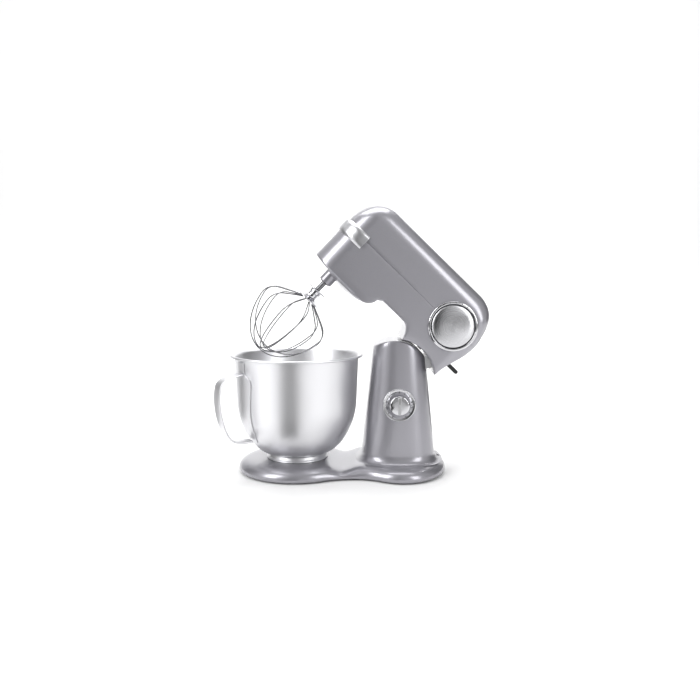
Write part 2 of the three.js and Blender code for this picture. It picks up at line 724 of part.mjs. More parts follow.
function headSection(distance) {
  const half = HEAD_HALF_WIDTH - distance;
  const radius = Math.max(HEAD_EDGE_RADIUS - distance, 1);
  const shape = new THREE.Shape();
  shape.moveTo(-half, 0);
  shape.lineTo(half, 0);
  shape.lineTo(half, HEAD_TOP - distance - radius);
  shape.absarc(half - radius, HEAD_TOP - distance - radius, radius, 0, Math.PI / 2);
  shape.lineTo(-half + radius, HEAD_TOP - distance);
  shape.absarc(-half + radius, HEAD_TOP - distance - radius, radius, Math.PI / 2, Math.PI);
  return edgeOf(shape, 7);
}

// The whole head as one solid, with every face moved in by a distance.
function headBody(distance) {
  return common(
    solid(alongY(headSide(distance), -HEAD_HALF_WIDTH - 5, HEAD_HALF_WIDTH + 5)),
    solid(raised(edgeOf(headPlan(distance), 7), 0, HEAD_TOP + 10)),
    solid(alongX(headSection(distance), -HEAD_NOSE - 10, HEAD_TAIL + 10)),
  );
}

const inDrum = (geometry) => geometry.translate(-BOWL_REACH, 0, 0);
const nearCaps = (geometry) => geometry.translate(CAP_X, 0, PARTING);
const below = (z) => solid(block(-400, 400, -200, 200, -50, z));
const above = (z) => solid(block(-400, 400, -200, 200, z, 400));
const headShell = cut(headBody(0), headBody(HEAD_WALL));
const capHoles = solid(nearCaps(rodY(CAP_RADIUS + 3, -90, 90, FINE_ROUND)));
const outletHole = solid(rodX(SOCKET_RADIUS + 6, -300, -HEAD_NOSE + 20).translate(0, 0, OUTLET_HEIGHT));

function lowerHousing() {
  const hubHole = solid(inDrum(disc(HUB_RADIUS + 1.5, 0, 75, FINE_ROUND)));
  const [from, to] = [ARM_ANGLE - ARM_HALF_ANGLE - 0.5, ARM_ANGLE + ARM_HALF_ANGLE + 0.5];
  const [inner, outer] = [SKIRT_RADIUS - 5, SKIRT_RADIUS + HEAD_WALL + 5];
  const armHole = solid(sector(inner, outer, from, to, KNUCKLE_HALF_WIDTH + GAP));
  const boltHole = solid(block(-4.5, 4.5, -6.5, 6.5, 50, 75));
  const leverHole = solid(block(30, 90, -9.6, 9.6, LEVER_HEIGHT - 11, LEVER_HEIGHT + 4.2));
  const lower = common(headShell, below(PARTING - GAP));
  return cut(lower, hubHole, armHole, boltHole, leverHole, capHoles, outletHole);
}

const topCover = () => cut(common(headShell, above(PARTING)), capHoles, outletHole);

// The arm that carries the head: a knuckle on the pin, a shield inside the barrel's slot and a
// flange that lies on the head's floor.
function hingeKnuckle() {
  const [from, to] = [ARM_ANGLE - ARM_HALF_ANGLE, ARM_ANGLE + ARM_HALF_ANGLE];
  const flangeFoot = SKIRT_RADIUS + HEAD_WALL + GAP;
  const body = join(
    solid(rodY(KNUCKLE_RADIUS, -KNUCKLE_HALF_WIDTH, KNUCKLE_HALF_WIDTH)),
    solid(sector(KNUCKLE_RADIUS - 4, flangeFoot + 1, from, to, KNUCKLE_HALF_WIDTH)),
    solid(sector(SHROUD_RADIUS - 2.5, SHROUD_RADIUS, 8, to + HEAD_TILT + 2, KNUCKLE_HALF_WIDTH)),
    solid(sector(flangeFoot, flangeFoot + 3.5, from + 2, to + 6, KNUCKLE_HALF_WIDTH + 8)),
  );
  return cut(body, solid(rodY(PIN_RADIUS + RUN, -60, 60)));
}

// A ring with a vented back plate in each flank, and the domed cap that stands in it.
function capRing(side) {
  const face = HEAD_HALF_WIDTH;
  const profile = [
    [8, face - 8],
    [CAP_RADIUS + 2.6, face - 8],
    [CAP_RADIUS + 2.6, face + GAP],
    [CAP_RING_RADIUS, face + GAP],
    [CAP_RING_RADIUS - 1, face + 3],
    [CAP_RADIUS + 2, face + 3.6],
    [CAP_RADIUS + 0.9, face + 1],
    [CAP_RADIUS + 0.9, face - 5.5],
    [8, face - 5.5],
  ];
  const vents = [];
  for (let i = 0; i < 8; i++)
    vents.push(solid(block(16, CAP_RADIUS - 3, -3.5, 3.5, face - 10, face - 3).rotateZ(rad(45 * i))));
  const ring = geometryOf(cut(solid(turned(profile, FINE_ROUND)), ...vents));
  return nearCaps(ring.rotateX((side * -Math.PI) / 2));
}

function domedCap(side) {
  const face = HEAD_HALF_WIDTH;
  const rise = CAP_RISE;
  const profile = [
    [0, face - 5.2],
    [CAP_RADIUS - 1, face - 5.2],
    [CAP_RADIUS, face - 1],
    [CAP_RADIUS - 0.6, face + 2],
    [CAP_RADIUS * 0.78, face + 2 + rise * 0.42],
    [CAP_RADIUS * 0.45, face + 2 + rise * 0.7],
    [0, face + 2 + rise * 0.8],
  ];
  return nearCaps(turned(profile, FINE_ROUND).rotateX((side * -Math.PI) / 2));
}

// The cover over the power outlet: a band round the nose whose arms run back along the flanks.
function outletCover() {
  const outer = solid(raised(edgeOf(headPlan(-OUTLET_COVER_PROUD), 9), COVER_LOW, COVER_HIGH));
  const inner = solid(raised(edgeOf(headPlan(-GAP), 9), COVER_LOW - 5, COVER_HIGH + 5));
  const ahead = new THREE.Shape();
  const rearEnd = -HEAD_NOSE + OUTLET_COVER_REACH;
  ahead.moveTo(-HEAD_NOSE - 20, COVER_LOW);
  ahead.lineTo(rearEnd - 9, COVER_LOW);
  ahead.lineTo(rearEnd, COVER_LOW + 9);
  ahead.lineTo(rearEnd, COVER_HIGH - 9);
  ahead.lineTo(rearEnd - 9, COVER_HIGH);
  ahead.lineTo(-HEAD_NOSE - 20, COVER_HIGH);
  return common(cut(outer, inner), solid(alongY(ahead, -90, 90)));
}

function releaseLever() {
  const half = 9;
  const bar = new THREE.Shape();
  bar.moveTo(-8, LEVER_HEIGHT - 3.5);
  bar.lineTo(76, LEVER_HEIGHT - 3.5);
  bar.lineTo(78, LEVER_HEIGHT - 1.5);
  bar.lineTo(78, LEVER_HEIGHT + 1.5);
  bar.lineTo(76, LEVER_HEIGHT + 3.5);
  bar.lineTo(-8, LEVER_HEIGHT + 3.5);
  return cut(solid(alongY(bar, -half, half)), solid(leverAxis(2 + RUN, 30)));
}

const leverAxis = (radius, half) => rodY(radius, -half, half, 16).translate(LEVER_PIVOT, 0, LEVER_HEIGHT);
const latchBolt = () => block(-4, 4, -6, 6, BARREL_RADIUS + 0.9, LEVER_HEIGHT - 4);

// ---- Drive --------------------------------------------------------------------------------
// A gear's outline with straight-sided teeth, one of them centred on the +X direction. The
// play is taken off each flank.
function gearOutline(teeth, addendum, dedendum, play) {
  const pitch = (GEAR_MODULE * teeth) / 2;
  const half = Math.PI / (2 * teeth) - play / (2 * pitch);
  const lean = (height) => (height * Math.tan(rad(20))) / pitch;
  const points = [];
  for (let i = 0; i < teeth; i++) {
    const middle = (2 * Math.PI * i) / teeth;
    const corner = (radius, offset) =>
      points.push(new THREE.Vector2(radius * Math.cos(middle + offset), radius * Math.sin(middle + offset)));
    corner(pitch - dedendum, -half - lean(dedendum));
    corner(pitch + addendum, -half + lean(addendum));
    corner(pitch + addendum, half - lean(addendum));
    corner(pitch - dedendum, half + lean(dedendum));
  }
  return points;
}

const TOOTH_PLAY = 0.7;

// The fixed internal gear: the outline that is cut from it has its teeth in the ring's spaces.
function ringGear() {
  const spaces = gearOutline(RING_TEETH, GEAR_MODULE * 1.1, GEAR_MODULE * 0.7, -TOOTH_PLAY / 2);
  const outer = (GEAR_MODULE * RING_TEETH) / 2 + 3.5;
  const blank = solid(disc(outer, GEAR_FOOT, GEAR_FOOT + GEAR_FACE, FINE_ROUND));
  return inDrum(geometryOf(cut(blank, solid(raised(spaces, GEAR_FOOT - 5, GEAR_FOOT + GEAR_FACE + 5)))));
}

function planetPinion() {
  const teeth = gearOutline(PLANET_TEETH, GEAR_MODULE * 0.8, GEAR_MODULE, TOOTH_PLAY / 2);
  const blank = solid(raised(teeth, GEAR_FOOT + GAP, GEAR_FOOT + GEAR_FACE - GAP));
  return cut(blank, solid(disc(SPINDLE_RADIUS + GAP, 0, 100, 16)));
}

// The hub turns in the drum's mouth and carries the spindle in an off-centre boss.
function planetaryHub() {
  const shaftTop = BELT_HEIGHT + BELT_WIDTH + 16;
  const profile = [
    [0, 43],
    [8, 43.3],
    [26, 47.5],
    [HUB_RADIUS, DRUM_FLOOR],
    [HUB_RADIUS, HUB_TOP],
    [MAIN_SHAFT_RADIUS, HUB_TOP],
    [MAIN_SHAFT_RADIUS, shaftTop],
    [0, shaftTop],
  ];
  const arm = new THREE.Shape();
  const tailRadius = 9;
  const lean = Math.acos((SPINDLE_BOSS_RADIUS - tailRadius) / ORBIT);
  arm.absarc(-ORBIT, 0, SPINDLE_BOSS_RADIUS, Math.PI - lean, Math.PI + lean, false);
  arm.absarc(0, 0, tailRadius, lean - Math.PI, Math.PI - lean, false);
  const body = join(
    solid(turned(profile, FINE_ROUND)),
    solid(raised(edgeOf(arm, 12), HUB_FOOT, HUB_TOP - 1)),
  );
  const bore = disc(SPINDLE_RADIUS + SPINDLE_BUSH_WALL + GAP, 0, 100).translate(-ORBIT, 0, 0);
  return inDrum(geometryOf(cut(body, solid(bore))));
}

function spindleBush() {
  const [inner, outer] = [SPINDLE_RADIUS + RUN, SPINDLE_RADIUS + SPINDLE_BUSH_WALL];
  return turned(tube(inner, outer, HUB_FOOT + 0.5, HUB_TOP)).translate(SPINDLE_X, 0, 0);
}

const PIN_HOLE_HEIGHT = 1;
const CROSS_PIN_RADIUS = 1.5;

function spindleShaft() {
  const shaft = solid(disc(SPINDLE_RADIUS, COLLAR_FOOT + 3, GEAR_FOOT + GEAR_FACE, 24));
  const hole = solid(rodY(CROSS_PIN_RADIUS + GAP, -20, 20, 12).translate(0, 0, PIN_HOLE_HEIGHT));
  return cut(shaft, hole);
}

const crossPin = () => rodY(CROSS_PIN_RADIUS, -8.6, 8.6, 12).translate(0, 0, PIN_HOLE_HEIGHT);

function bearing(low) {
  return inDrum(turned(tube(MAIN_SHAFT_RADIUS + RUN, BEARING_RADIUS, low, low + BEARING_HEIGHT)));
}

// The plate across the drum that holds both bearings above the gears.
function bearingCarrier() {
  const low = CARRIER_FOOT;
  const plan = edgeOf(headPlan(HEAD_WALL + GAP), 7);
  const backEdge = -BOWL_REACH + DRUM_BACK - HEAD_WALL - 3;
  const plate = common(
    solid(raised(plan, low, low + 4)),
    solid(block(-400, backEdge, -100, 100, 0, 200)),
  );
  const boss = solid(inDrum(disc(BEARING_RADIUS + 3.5, low, low + 2 * BEARING_HEIGHT + GAP)));
  const bore = solid(inDrum(disc(BEARING_RADIUS + GAP, low + 1.5, low + 40)));
  const mouth = solid(inDrum(disc(BEARING_RADIUS - 3, 0, low + 40)));
  return cut(join(plate, boss), bore, mouth);
}

// A belt wheel with a lip at its foot.
function beltWheel(radius, bore) {
  const top = BELT_HEIGHT + BELT_WIDTH;
  const profile = [
    [bore, BELT_HEIGHT - 1],
    [radius + 2, BELT_HEIGHT - 1],
    [radius + 2, BELT_HEIGHT],
    [radius, BELT_HEIGHT + 0.3],
    [radius, top],
    [bore, top],
  ];
  return turned(profile, FINE_ROUND);
}

function drivePulley() {
  const holes = [0, 60, 120, 180, 240, 300].map((angle) =>
    solid(disc(9, 0, 200, 16).translate(25, 0, 0).rotateZ(rad(angle))),
  );
  return inDrum(geometryOf(cut(solid(beltWheel(DRIVE_PULLEY_RADIUS, MAIN_SHAFT_RADIUS + GAP)), ...holes)));
}

const motorPulley = () => beltWheel(MOTOR_PULLEY_RADIUS, ROTOR_SHAFT_RADIUS + GAP);

// The outline round both pulleys, a distance outside them.
function beltOutline(distance) {
  const span = BOWL_REACH - MOTOR_BACK;
  const [big, small] = [DRIVE_PULLEY_RADIUS + distance, MOTOR_PULLEY_RADIUS + distance];
  const lean = Math.acos((big - small) / span);
  const shape = new THREE.Shape();
  shape.absarc(-BOWL_REACH, 0, big, lean, 2 * Math.PI - lean, false);
  shape.absarc(-MOTOR_BACK, 0, small, -lean, lean, false);
  return edgeOf(shape, 24);
}

function driveBelt() {
  const [low, high] = [BELT_HEIGHT + 0.8, BELT_HEIGHT + BELT_WIDTH - 0.5];
  return cut(
    solid(raised(beltOutline(0.5 + BELT_THICKNESS), low, high)),
    solid(raised(beltOutline(0.5), low - 5, high + 5)),
  );
}

function crownGear() {
  const low = BELT_HEIGHT + BELT_WIDTH + 4;
  const top = OUTLET_HEIGHT - OUTLET_GEAR_RADIUS - 0.4;
  const rim = 13;
  const profile = [
    [MAIN_SHAFT_RADIUS + GAP, low],
    [CROWN_RADIUS, low],
    [CROWN_RADIUS, top],
    [CROWN_RADIUS - rim + 4, top],
    [CROWN_RADIUS - rim, low + 4],
    [MAIN_SHAFT_RADIUS + GAP, low + 4],
  ];
  const grooves = [];
  for (let i = 0; i < CROWN_TEETH / 2; i++) {
    const groove = block(-CROWN_RADIUS - 2, CROWN_RADIUS + 2, -0.8, 0.8, top - 1.4, top + 2);
    grooves.push(solid(groove.rotateZ((2 * Math.PI * i) / CROWN_TEETH)));
  }
  return inDrum(geometryOf(cut(solid(turned(profile, FINE_ROUND)), ...grooves)));
}

// The outlet's socket with its square mouth to the front and its gear at the back.
function outletSocket() {
  const front = -HEAD_NOSE + 3;
  const back = -BOWL_REACH - CROWN_RADIUS + 13;
  const gear = [];
  const root = OUTLET_GEAR_RADIUS - 1.4;
  for (let i = 0; i < OUTLET_TEETH; i++) {
    const groove = block(root, root + 4, -0.7, 0.7, -back - 1, -back + 12);
    gear.push(solid(groove.rotateZ((2 * Math.PI * i) / OUTLET_TEETH)));
  }
  const body = join(
    solid(disc(SOCKET_RADIUS, -front - 14, -front, 24)),
    solid(disc(6, -back + 5, -front - 10, 24)),
    solid(disc(OUTLET_GEAR_RADIUS, -back, -back + 11, 24)),
  );
  const half = SOCKET_SQUARE / 2;
  const square = solid(block(-half, half, -half, half, -front - 11, -front + 5));
  return geometryOf(cut(body, square, ...gear)).rotateY(-Math.PI / 2).translate(0, 0, OUTLET_HEIGHT);
}

function outletBush() {
  const front = HEAD_NOSE - HEAD_WALL - GAP;
  const bush = turned(tube(SOCKET_RADIUS + RUN, SOCKET_RADIUS + 5.6, front - 12, front));
  return bush.rotateY(-Math.PI / 2).translate(0, 0, OUTLET_HEIGHT);
}

// Motor, drawn about its own upright axis.
function motorCase() {
  const [low, high] = [MOTOR_BASE, MOTOR_BASE + MOTOR_HEIGHT];
  return turned([
    [9, low],
    [MOTOR_RADIUS, low],
    [MOTOR_RADIUS, high],
    [9, high],
    [9, high - 3],
    [ROTOR_RADIUS + 2, high - 3],
    [ROTOR_RADIUS + 2, low + 3],
    [9, low + 3],
  ]);
}

function rotor() {
  const [low, high] = [MOTOR_BASE + 6, MOTOR_BASE + MOTOR_HEIGHT - 6];
  return turned(
    [
      [0, BELT_HEIGHT - 2],
      [ROTOR_SHAFT_RADIUS, BELT_HEIGHT - 2],
      [ROTOR_SHAFT_RADIUS, low],
      [ROTOR_RADIUS, low],
      [ROTOR_RADIUS, high],
      [ROTOR_SHAFT_RADIUS, high],
      [ROTOR_SHAFT_RADIUS, high + 24],
      [0, high + 24],
    ],
    24,
  );
}

function coolingFan() {
  const low = MOTOR_BASE + MOTOR_HEIGHT + 4;
  const blades = [];
  for (let i = 0; i < 9; i++)
    blades.push(solid(block(6, 28, -0.8, 0.8, low + 1, low + 9).rotateZ(rad(40 * i))));
  const wheel = join(solid(disc(28, low, low + 1.6)), solid(disc(8, low, low + 10)), ...blades);
  return cut(wheel, solid(disc(ROTOR_SHAFT_RADIUS + GAP, 0, 300, 16)));
}

function motorBracket() {
  const half = HEAD_HALF_WIDTH - HEAD_WALL - GAP;
  const plate = solid(block(-MOTOR_RADIUS, 14, -half, half, MOTOR_BASE - 3.6, MOTOR_BASE - GAP));
  return cut(plate, solid(disc(10, 0, 200)));
}

// ---- Whisk --------------------------------------------------------------------------------
function whiskCollar() {
  const top = COLLAR_TOP;
  const foot = COLLAR_FOOT;
  const body = turned(
    [
      [0, foot],
      [21, foot],
      [21, foot + 1.6],
      [14, foot + 4],
      [9.6, foot + 5.5],
      [9.6, top - 3],
      [17.3, top - 2],
      [17.3, top],
      [0, top],
    ],
    FINE_ROUND,
  );
  const bore = disc(SPINDLE_RADIUS + GAP, foot + 2.6, top + 5, 24);
  const slot = block(-2, 2, -15, 15, PIN_HOLE_HEIGHT - 2, PIN_HOLE_HEIGHT + 2.2);
  return cut(solid(body), solid(bore), solid(slot));
}

// One wire goes from the collar out to the shoulder, round the tip and up the other side. Each
// loop passes the axis above the one before it.
function whiskWire(loop) {
  const legRadius = 15;
  const start = COLLAR_FOOT - GAP - WIRE_RADIUS;
  const tip = WHISK_TIP + loop * (2 * WIRE_RADIUS + 0.4);
  const half = [
    [legRadius, start],
    [legRadius + 22, start - 11],
    [WHISK_RADIUS - 7, WHISK_SHOULDER + 7],
    [WHISK_RADIUS, WHISK_SHOULDER - 6],
  ];
  const depth = WHISK_SHOULDER - 6 - tip;
  for (let i = 1; i < 6; i++) {
    const turn = (Math.PI / 2) * (i / 6);
    half.push([WHISK_RADIUS * Math.cos(turn), WHISK_SHOULDER - 6 - depth * Math.sin(turn) ** 1.1]);
  }
  const right = half.map(([r, z]) => new THREE.Vector3(r, 0, z));
  const left = half.map(([r, z]) => new THREE.Vector3(-r, 0, z)).reverse();
  const points = [...right, new THREE.Vector3(0, 0, tip), ...left];
  const path = new THREE.CatmullRomCurve3(points, false, "centripetal");
  const section = new THREE.Shape();
  section.absarc(0, 0, WIRE_RADIUS, 0, 2 * Math.PI);
  const settings = { steps: 30, extrudePath: path, bevelEnabled: false, curveSegments: 3 };
  const wire = new THREE.ExtrudeGeometry(section, settings);
  return wire.rotateZ((Math.PI * (loop + 0.5)) / WHISK_LOOPS);
}

// ---- Assembly -----------------------------------------------------------------------------
const mixer = new THREE.Group();

mixer.add(
  piece("pedestal_casting", pedestalCasting(), PAINT),
  piece("base_plate", basePlate(), BLACK),
  piece("dial_bezel", dialBezel(), BRUSHED),
  piece("speed_dial", speedDial(), CHROME),
  piece("speed_switch", rotarySwitch(), BLACK),
  piece("control_board", controlBoard(), BOARD),
  piece("cord_inlet", cordInlet(), BLACK),
  piece("hinge_pin", hingePin(), STEEL),
  piece("hinge_bush_left", hingeBush(-1), BRONZE),
  piece("hinge_bush_right", hingeBush(1), BRONZE),
);
FEET.forEach(([x, y], i) =>
  mixer.add(piece("foot_" + (i + 1), disc(FOOT_RADIUS, 0, BASE_UNDERSIDE, 24).translate(x, y, 0), RUBBER)),
);

const bowl = new THREE.Group();
bowl.position.x = -BOWL_REACH;
bowl.add(
  piece("bowl_seat", bowlSeat(), CAST),
  piece("bowl_shell", bowlShell(), STEEL),
  piece("bowl_foot", bowlFoot(), STEEL),
  piece("bowl_handle", bowlHandle(), STEEL),
  piece("handle_plate", handlePlate(), STEEL),
);
mixer.add(bowl);

const head = new THREE.Group();
head.position.z = HINGE_HEIGHT;
head.rotation.y = rad(HEAD_TILT);
head.add(
  piece("head_lower_housing", lowerHousing(), PAINT),
  piece("head_top_cover", topCover(), PAINT),
  piece("hinge_knuckle", hingeKnuckle(), CAST),
  piece("side_ring_left", capRing(-1), CHROME),
  piece("side_ring_right", capRing(1), CHROME),
  piece("side_cap_left", domedCap(-1), BRUSHED),
  piece("side_cap_right", domedCap(1), BRUSHED),
  piece("outlet_cover", outletCover(), BRUSHED),
  piece("outlet_bush", outletBush(), NYLON),
  piece("outlet_socket", outletSocket(), STEEL),
  piece("release_lever", releaseLever(), BLACK),
  piece("lever_pin", leverAxis(2, 13), STEEL),
  piece("latch_bolt", latchBolt(), STEEL),
  piece("ring_gear", ringGear(), CAST),
  piece("bearing_carrier", bearingCarrier(), CAST),
  piece("lower_bearing", bearing(CARRIER_FOOT + 1.5 + GAP), STEEL),
  piece("upper_bearing", bearing(CARRIER_FOOT + 1.5 + 2 * GAP + BEARING_HEIGHT), STEEL),
  piece("planetary_hub", planetaryHub(), PAINT),
  piece("spindle_bush", spindleBush(), BRONZE),
  piece("drive_pulley", drivePulley(), NYLON),
  piece("drive_belt", driveBelt(), RUBBER),
  piece("crown_gear", crownGear(), CAST),
);
mixer.add(head);

const motor = new THREE.Group();
motor.position.x = -MOTOR_BACK;
motor.add(
  piece("motor_case", motorCase(), CAST),
  piece("motor_bracket", motorBracket(), CAST),
  piece("motor_pulley", motorPulley(), STEEL),
  piece("rotor", rotor(), COPPER),
  piece("cooling_fan", coolingFan(), BLACK),
);
head.add(motor);

const spindle = new THREE.Group();
spindle.position.x = SPINDLE_X;
spindle.add(
  piece("spindle", spindleShaft(), STEEL),
  piece("spindle_pin", crossPin(), STEEL),
  piece("planet_pinion", planetPinion(), STEEL),
  piece("whisk_collar", whiskCollar(), STEEL),
);
for (let loop = 0; loop < WHISK_LOOPS; loop++)
  spindle.add(piece("whisk_wire_" + (loop + 1), whiskWire(loop), STEEL));
head.add(spindle);

// The finished part stands on its feet with its box centred over the origin.
mixer.updateMatrixWorld(true);
const box = new THREE.Box3().setFromObject(mixer, true);
const middle = box.getCenter(new THREE.Vector3());
mixer.position.set(-middle.x, -middle.y, -box.min.z);
const part = new THREE.Group();
part.add(mixer);

export default part;
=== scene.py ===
"""Stand mixer: builds the finished surface of a tilt-head mixer over its mechanical frame."""
import json
import math

import bmesh
import bpy
import numpy as np
from mathutils import Matrix, Vector


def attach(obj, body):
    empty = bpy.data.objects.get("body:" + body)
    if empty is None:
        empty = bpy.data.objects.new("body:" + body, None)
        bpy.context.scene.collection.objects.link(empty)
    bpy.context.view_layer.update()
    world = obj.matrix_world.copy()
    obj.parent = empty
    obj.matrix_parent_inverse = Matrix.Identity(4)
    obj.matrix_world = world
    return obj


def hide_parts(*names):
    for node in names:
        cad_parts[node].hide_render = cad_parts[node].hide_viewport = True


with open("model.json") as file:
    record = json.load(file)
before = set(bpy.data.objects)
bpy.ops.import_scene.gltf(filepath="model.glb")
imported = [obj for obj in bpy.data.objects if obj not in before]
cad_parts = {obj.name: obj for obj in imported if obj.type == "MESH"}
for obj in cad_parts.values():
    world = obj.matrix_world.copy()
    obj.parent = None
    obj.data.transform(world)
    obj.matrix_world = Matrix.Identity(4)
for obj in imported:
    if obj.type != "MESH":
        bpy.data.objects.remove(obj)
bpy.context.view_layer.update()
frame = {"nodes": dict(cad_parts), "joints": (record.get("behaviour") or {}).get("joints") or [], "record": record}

bl_info = {
    "name": "Stand Mixer",
    "version": (1, 0, 0),
    "blender": (4, 5, 0),
    "location": "3D View > Sidebar > Mixer",
    "description": "Builds the visible surfaces of a tilt-head stand mixer",
    "category": "Object",
}

MM = 0.001
JOINTS = {joint["name"]: joint for joint in frame["joints"]}
HINGE = Vector(JOINTS["head_tilt"]["pos_m"])
TILT = -math.radians(JOINTS["head_tilt"]["range_deg"][0])
PEDESTAL = Matrix.Translation((HINGE.x, 0, 0))
HEAD = Matrix.Translation(HINGE) @ Matrix.Rotation(TILT, 4, "Y")
BOWL_X = JOINTS["bowl_twist"]["pos_m"][0]
BOWL = Matrix.Translation((BOWL_X, 0, 0))
REACH = (HINGE.x - BOWL_X) / MM  # hinge axis to bowl axis
ORBIT = 28.0  # hub axis to whisk axis
HUB = HEAD @ Matrix.Translation((-REACH * MM, 0, 0))
SPINDLE = HEAD @ Matrix.Translation((-(REACH + ORBIT) * MM, 0, 0))

# ---- Fixed places, in millimetres ----------------------------------------------------------
# The base and the column are measured from the point of the table under the hinge, and the head
# from the hinge, with the head closed.
LIP_Z = 2.7  # underside of the base's edge
INLET_RADIUS, INLET_Z = 4.9, 20.5  # hole for the cord's inlet
WAIST_X, WAIST_REACH = -86, 34  # where the base is lowest, and how far its slopes reach
COLUMN_X = 8.5  # middle of the column
COLUMN_TAPER_LONG, COLUMN_TAPER_WIDE = 0.103, 0.065  # loss of half length and half width with height
COLUMN_SQUARENESS = 2.6  # power of the column's plan: 2 is an ellipse
FILLET_RISE, FILLET_REACH = 14, 12  # where the column grows out of the base
NOSE_X, TAIL_X = -238.5, 62.3
HEAD_TOP, HEAD_UNDER, HEAD_SHELF = 198, 52.5, 77.6  # top, underside, and underside behind the hub
TAIL_Z = 131  # rearmost point of the tail
OUTLET_Z = 124.5  # axis of the outlet in the nose
CAP_X, CAP_Z = 7.3, 128.0  # centre of the side caps, and height of the seam
SEAM = 0.35  # gap between the head's housing and its cover
BAND_REAR = -191.5  # rear end of the outlet cover's band
BAND_HALF_HEIGHT = 12.6

# The bowl's heights are from the table, and the handle's turn is from the front towards the camera.
BOWL_FLOOR, BOWL_SHOULDER, BOWL_RIM = (50, 32.6), (103.5, 118), (107, 199)  # (radius, height)
HANDLE_TURN = 34.8  # degrees

# The dial's marks lie on its bezel, in the dial's own frame.
MARK_COUNT, MARK_FIRST, MARK_STEP = 13, -150, 25  # the last two in degrees
MARK_RADIUS, MARK_HALF = 20.2, 0.45

# The whisk hangs from the spindle's frame.
LOOP_COUNT, LOOP_GAP = 6, 0.4
LOOP_RADIUS, LOOP_WIDEST, LOOP_TIP = 67, -47, -130.5

CAMERA_PLACE = (-75.57, -1179.58, 174.05)  # from the hinge
CAMERA_LENS, CAMERA_SENSOR = 35.09, 36
CAMERA_PITCH = 0.112  # radians below the horizon


# ---- Sizes and colours ---------------------------------------------------------------------
def length(name, description, default):
    return bpy.props.FloatProperty(
        name=name, description=description, default=default, unit="LENGTH", subtype="DISTANCE"
    )


def colour(name, description, default):
    return bpy.props.FloatVectorProperty(
        name=name, description=description, default=default, size=4, min=0, max=1, subtype="COLOR"
    )


class MixerSizes(bpy.types.PropertyGroup):
    """Sizes of the visible surfaces, in metres"""

    front_lobe: length("Front lobe", "Radius of the base under the bowl", 0.102)
    rear_lobe_length: length("Rear lobe length", "Half length of the base under the column", 0.079)
    rear_lobe_width: length("Rear lobe width", "Half width of the base under the column", 0.1025)
    base_top: length("Base top", "Height of the base's upper face", 0.0227)
    waist_top: length("Waist top", "Height of the base between its lobes", 0.013)
    column_length: length("Column length", "Half length of the column at the table", 0.0668)
    column_width: length("Column width", "Half width of the column at the table", 0.064)
    barrel: length("Barrel", "Radius of the column's round top", 0.0615)
    head_half_width: length("Head half width", "Centre plane to the flank", 0.058)
    head_edge: length("Head edge", "Rounding of the long top edges", 0.030)
    head_nose: length("Head nose", "Rounding of the nose, from above", 0.038)
    head_tail: length("Head tail", "Rounding of the tail, from above", 0.028)
    head_wall: length("Head wall", "Thickness of the casing", 0.003)
    cap: length("Side cap", "Radius of the domed side cap", 0.0353)
    bowl_wall: length("Bowl wall", "Thickness of the bowl's steel", 0.0015)
    handle_width: length("Handle width", "Width of the bowl's strap handle", 0.022)
    wire: length("Whisk wire", "Radius of a whisk wire", 0.001)


class MixerColours(bpy.types.PropertyGroup):
    """Base colours of the finishes, linear"""

    paint: colour("Paint", "Silver-grey metallic enamel", (0.33, 0.325, 0.355, 1))
    steel: colour("Steel", "Polished stainless steel", (0.56, 0.56, 0.575, 1))
    wire: colour("Wire", "Drawn steel of the whisk and the shafts", (0.2, 0.2, 0.21, 1))
    chrome: colour("Chrome", "Bright plated trim", (0.64, 0.64, 0.66, 1))
    brushed: colour("Brushed metal", "Spun and brushed trim", (0.6, 0.6, 0.62, 1))
    alloy: colour("Cast alloy", "Bare castings", (0.32, 0.32, 0.33, 1))
    black: colour("Black plastic", "Lever, base plate and fan", (0.012, 0.012, 0.014, 1))
    rubber: colour("Rubber", "Feet and belt", (0.018, 0.018, 0.018, 1))
    floor: colour("Floor", "Backdrop", (0.86, 0.86, 0.86, 1))


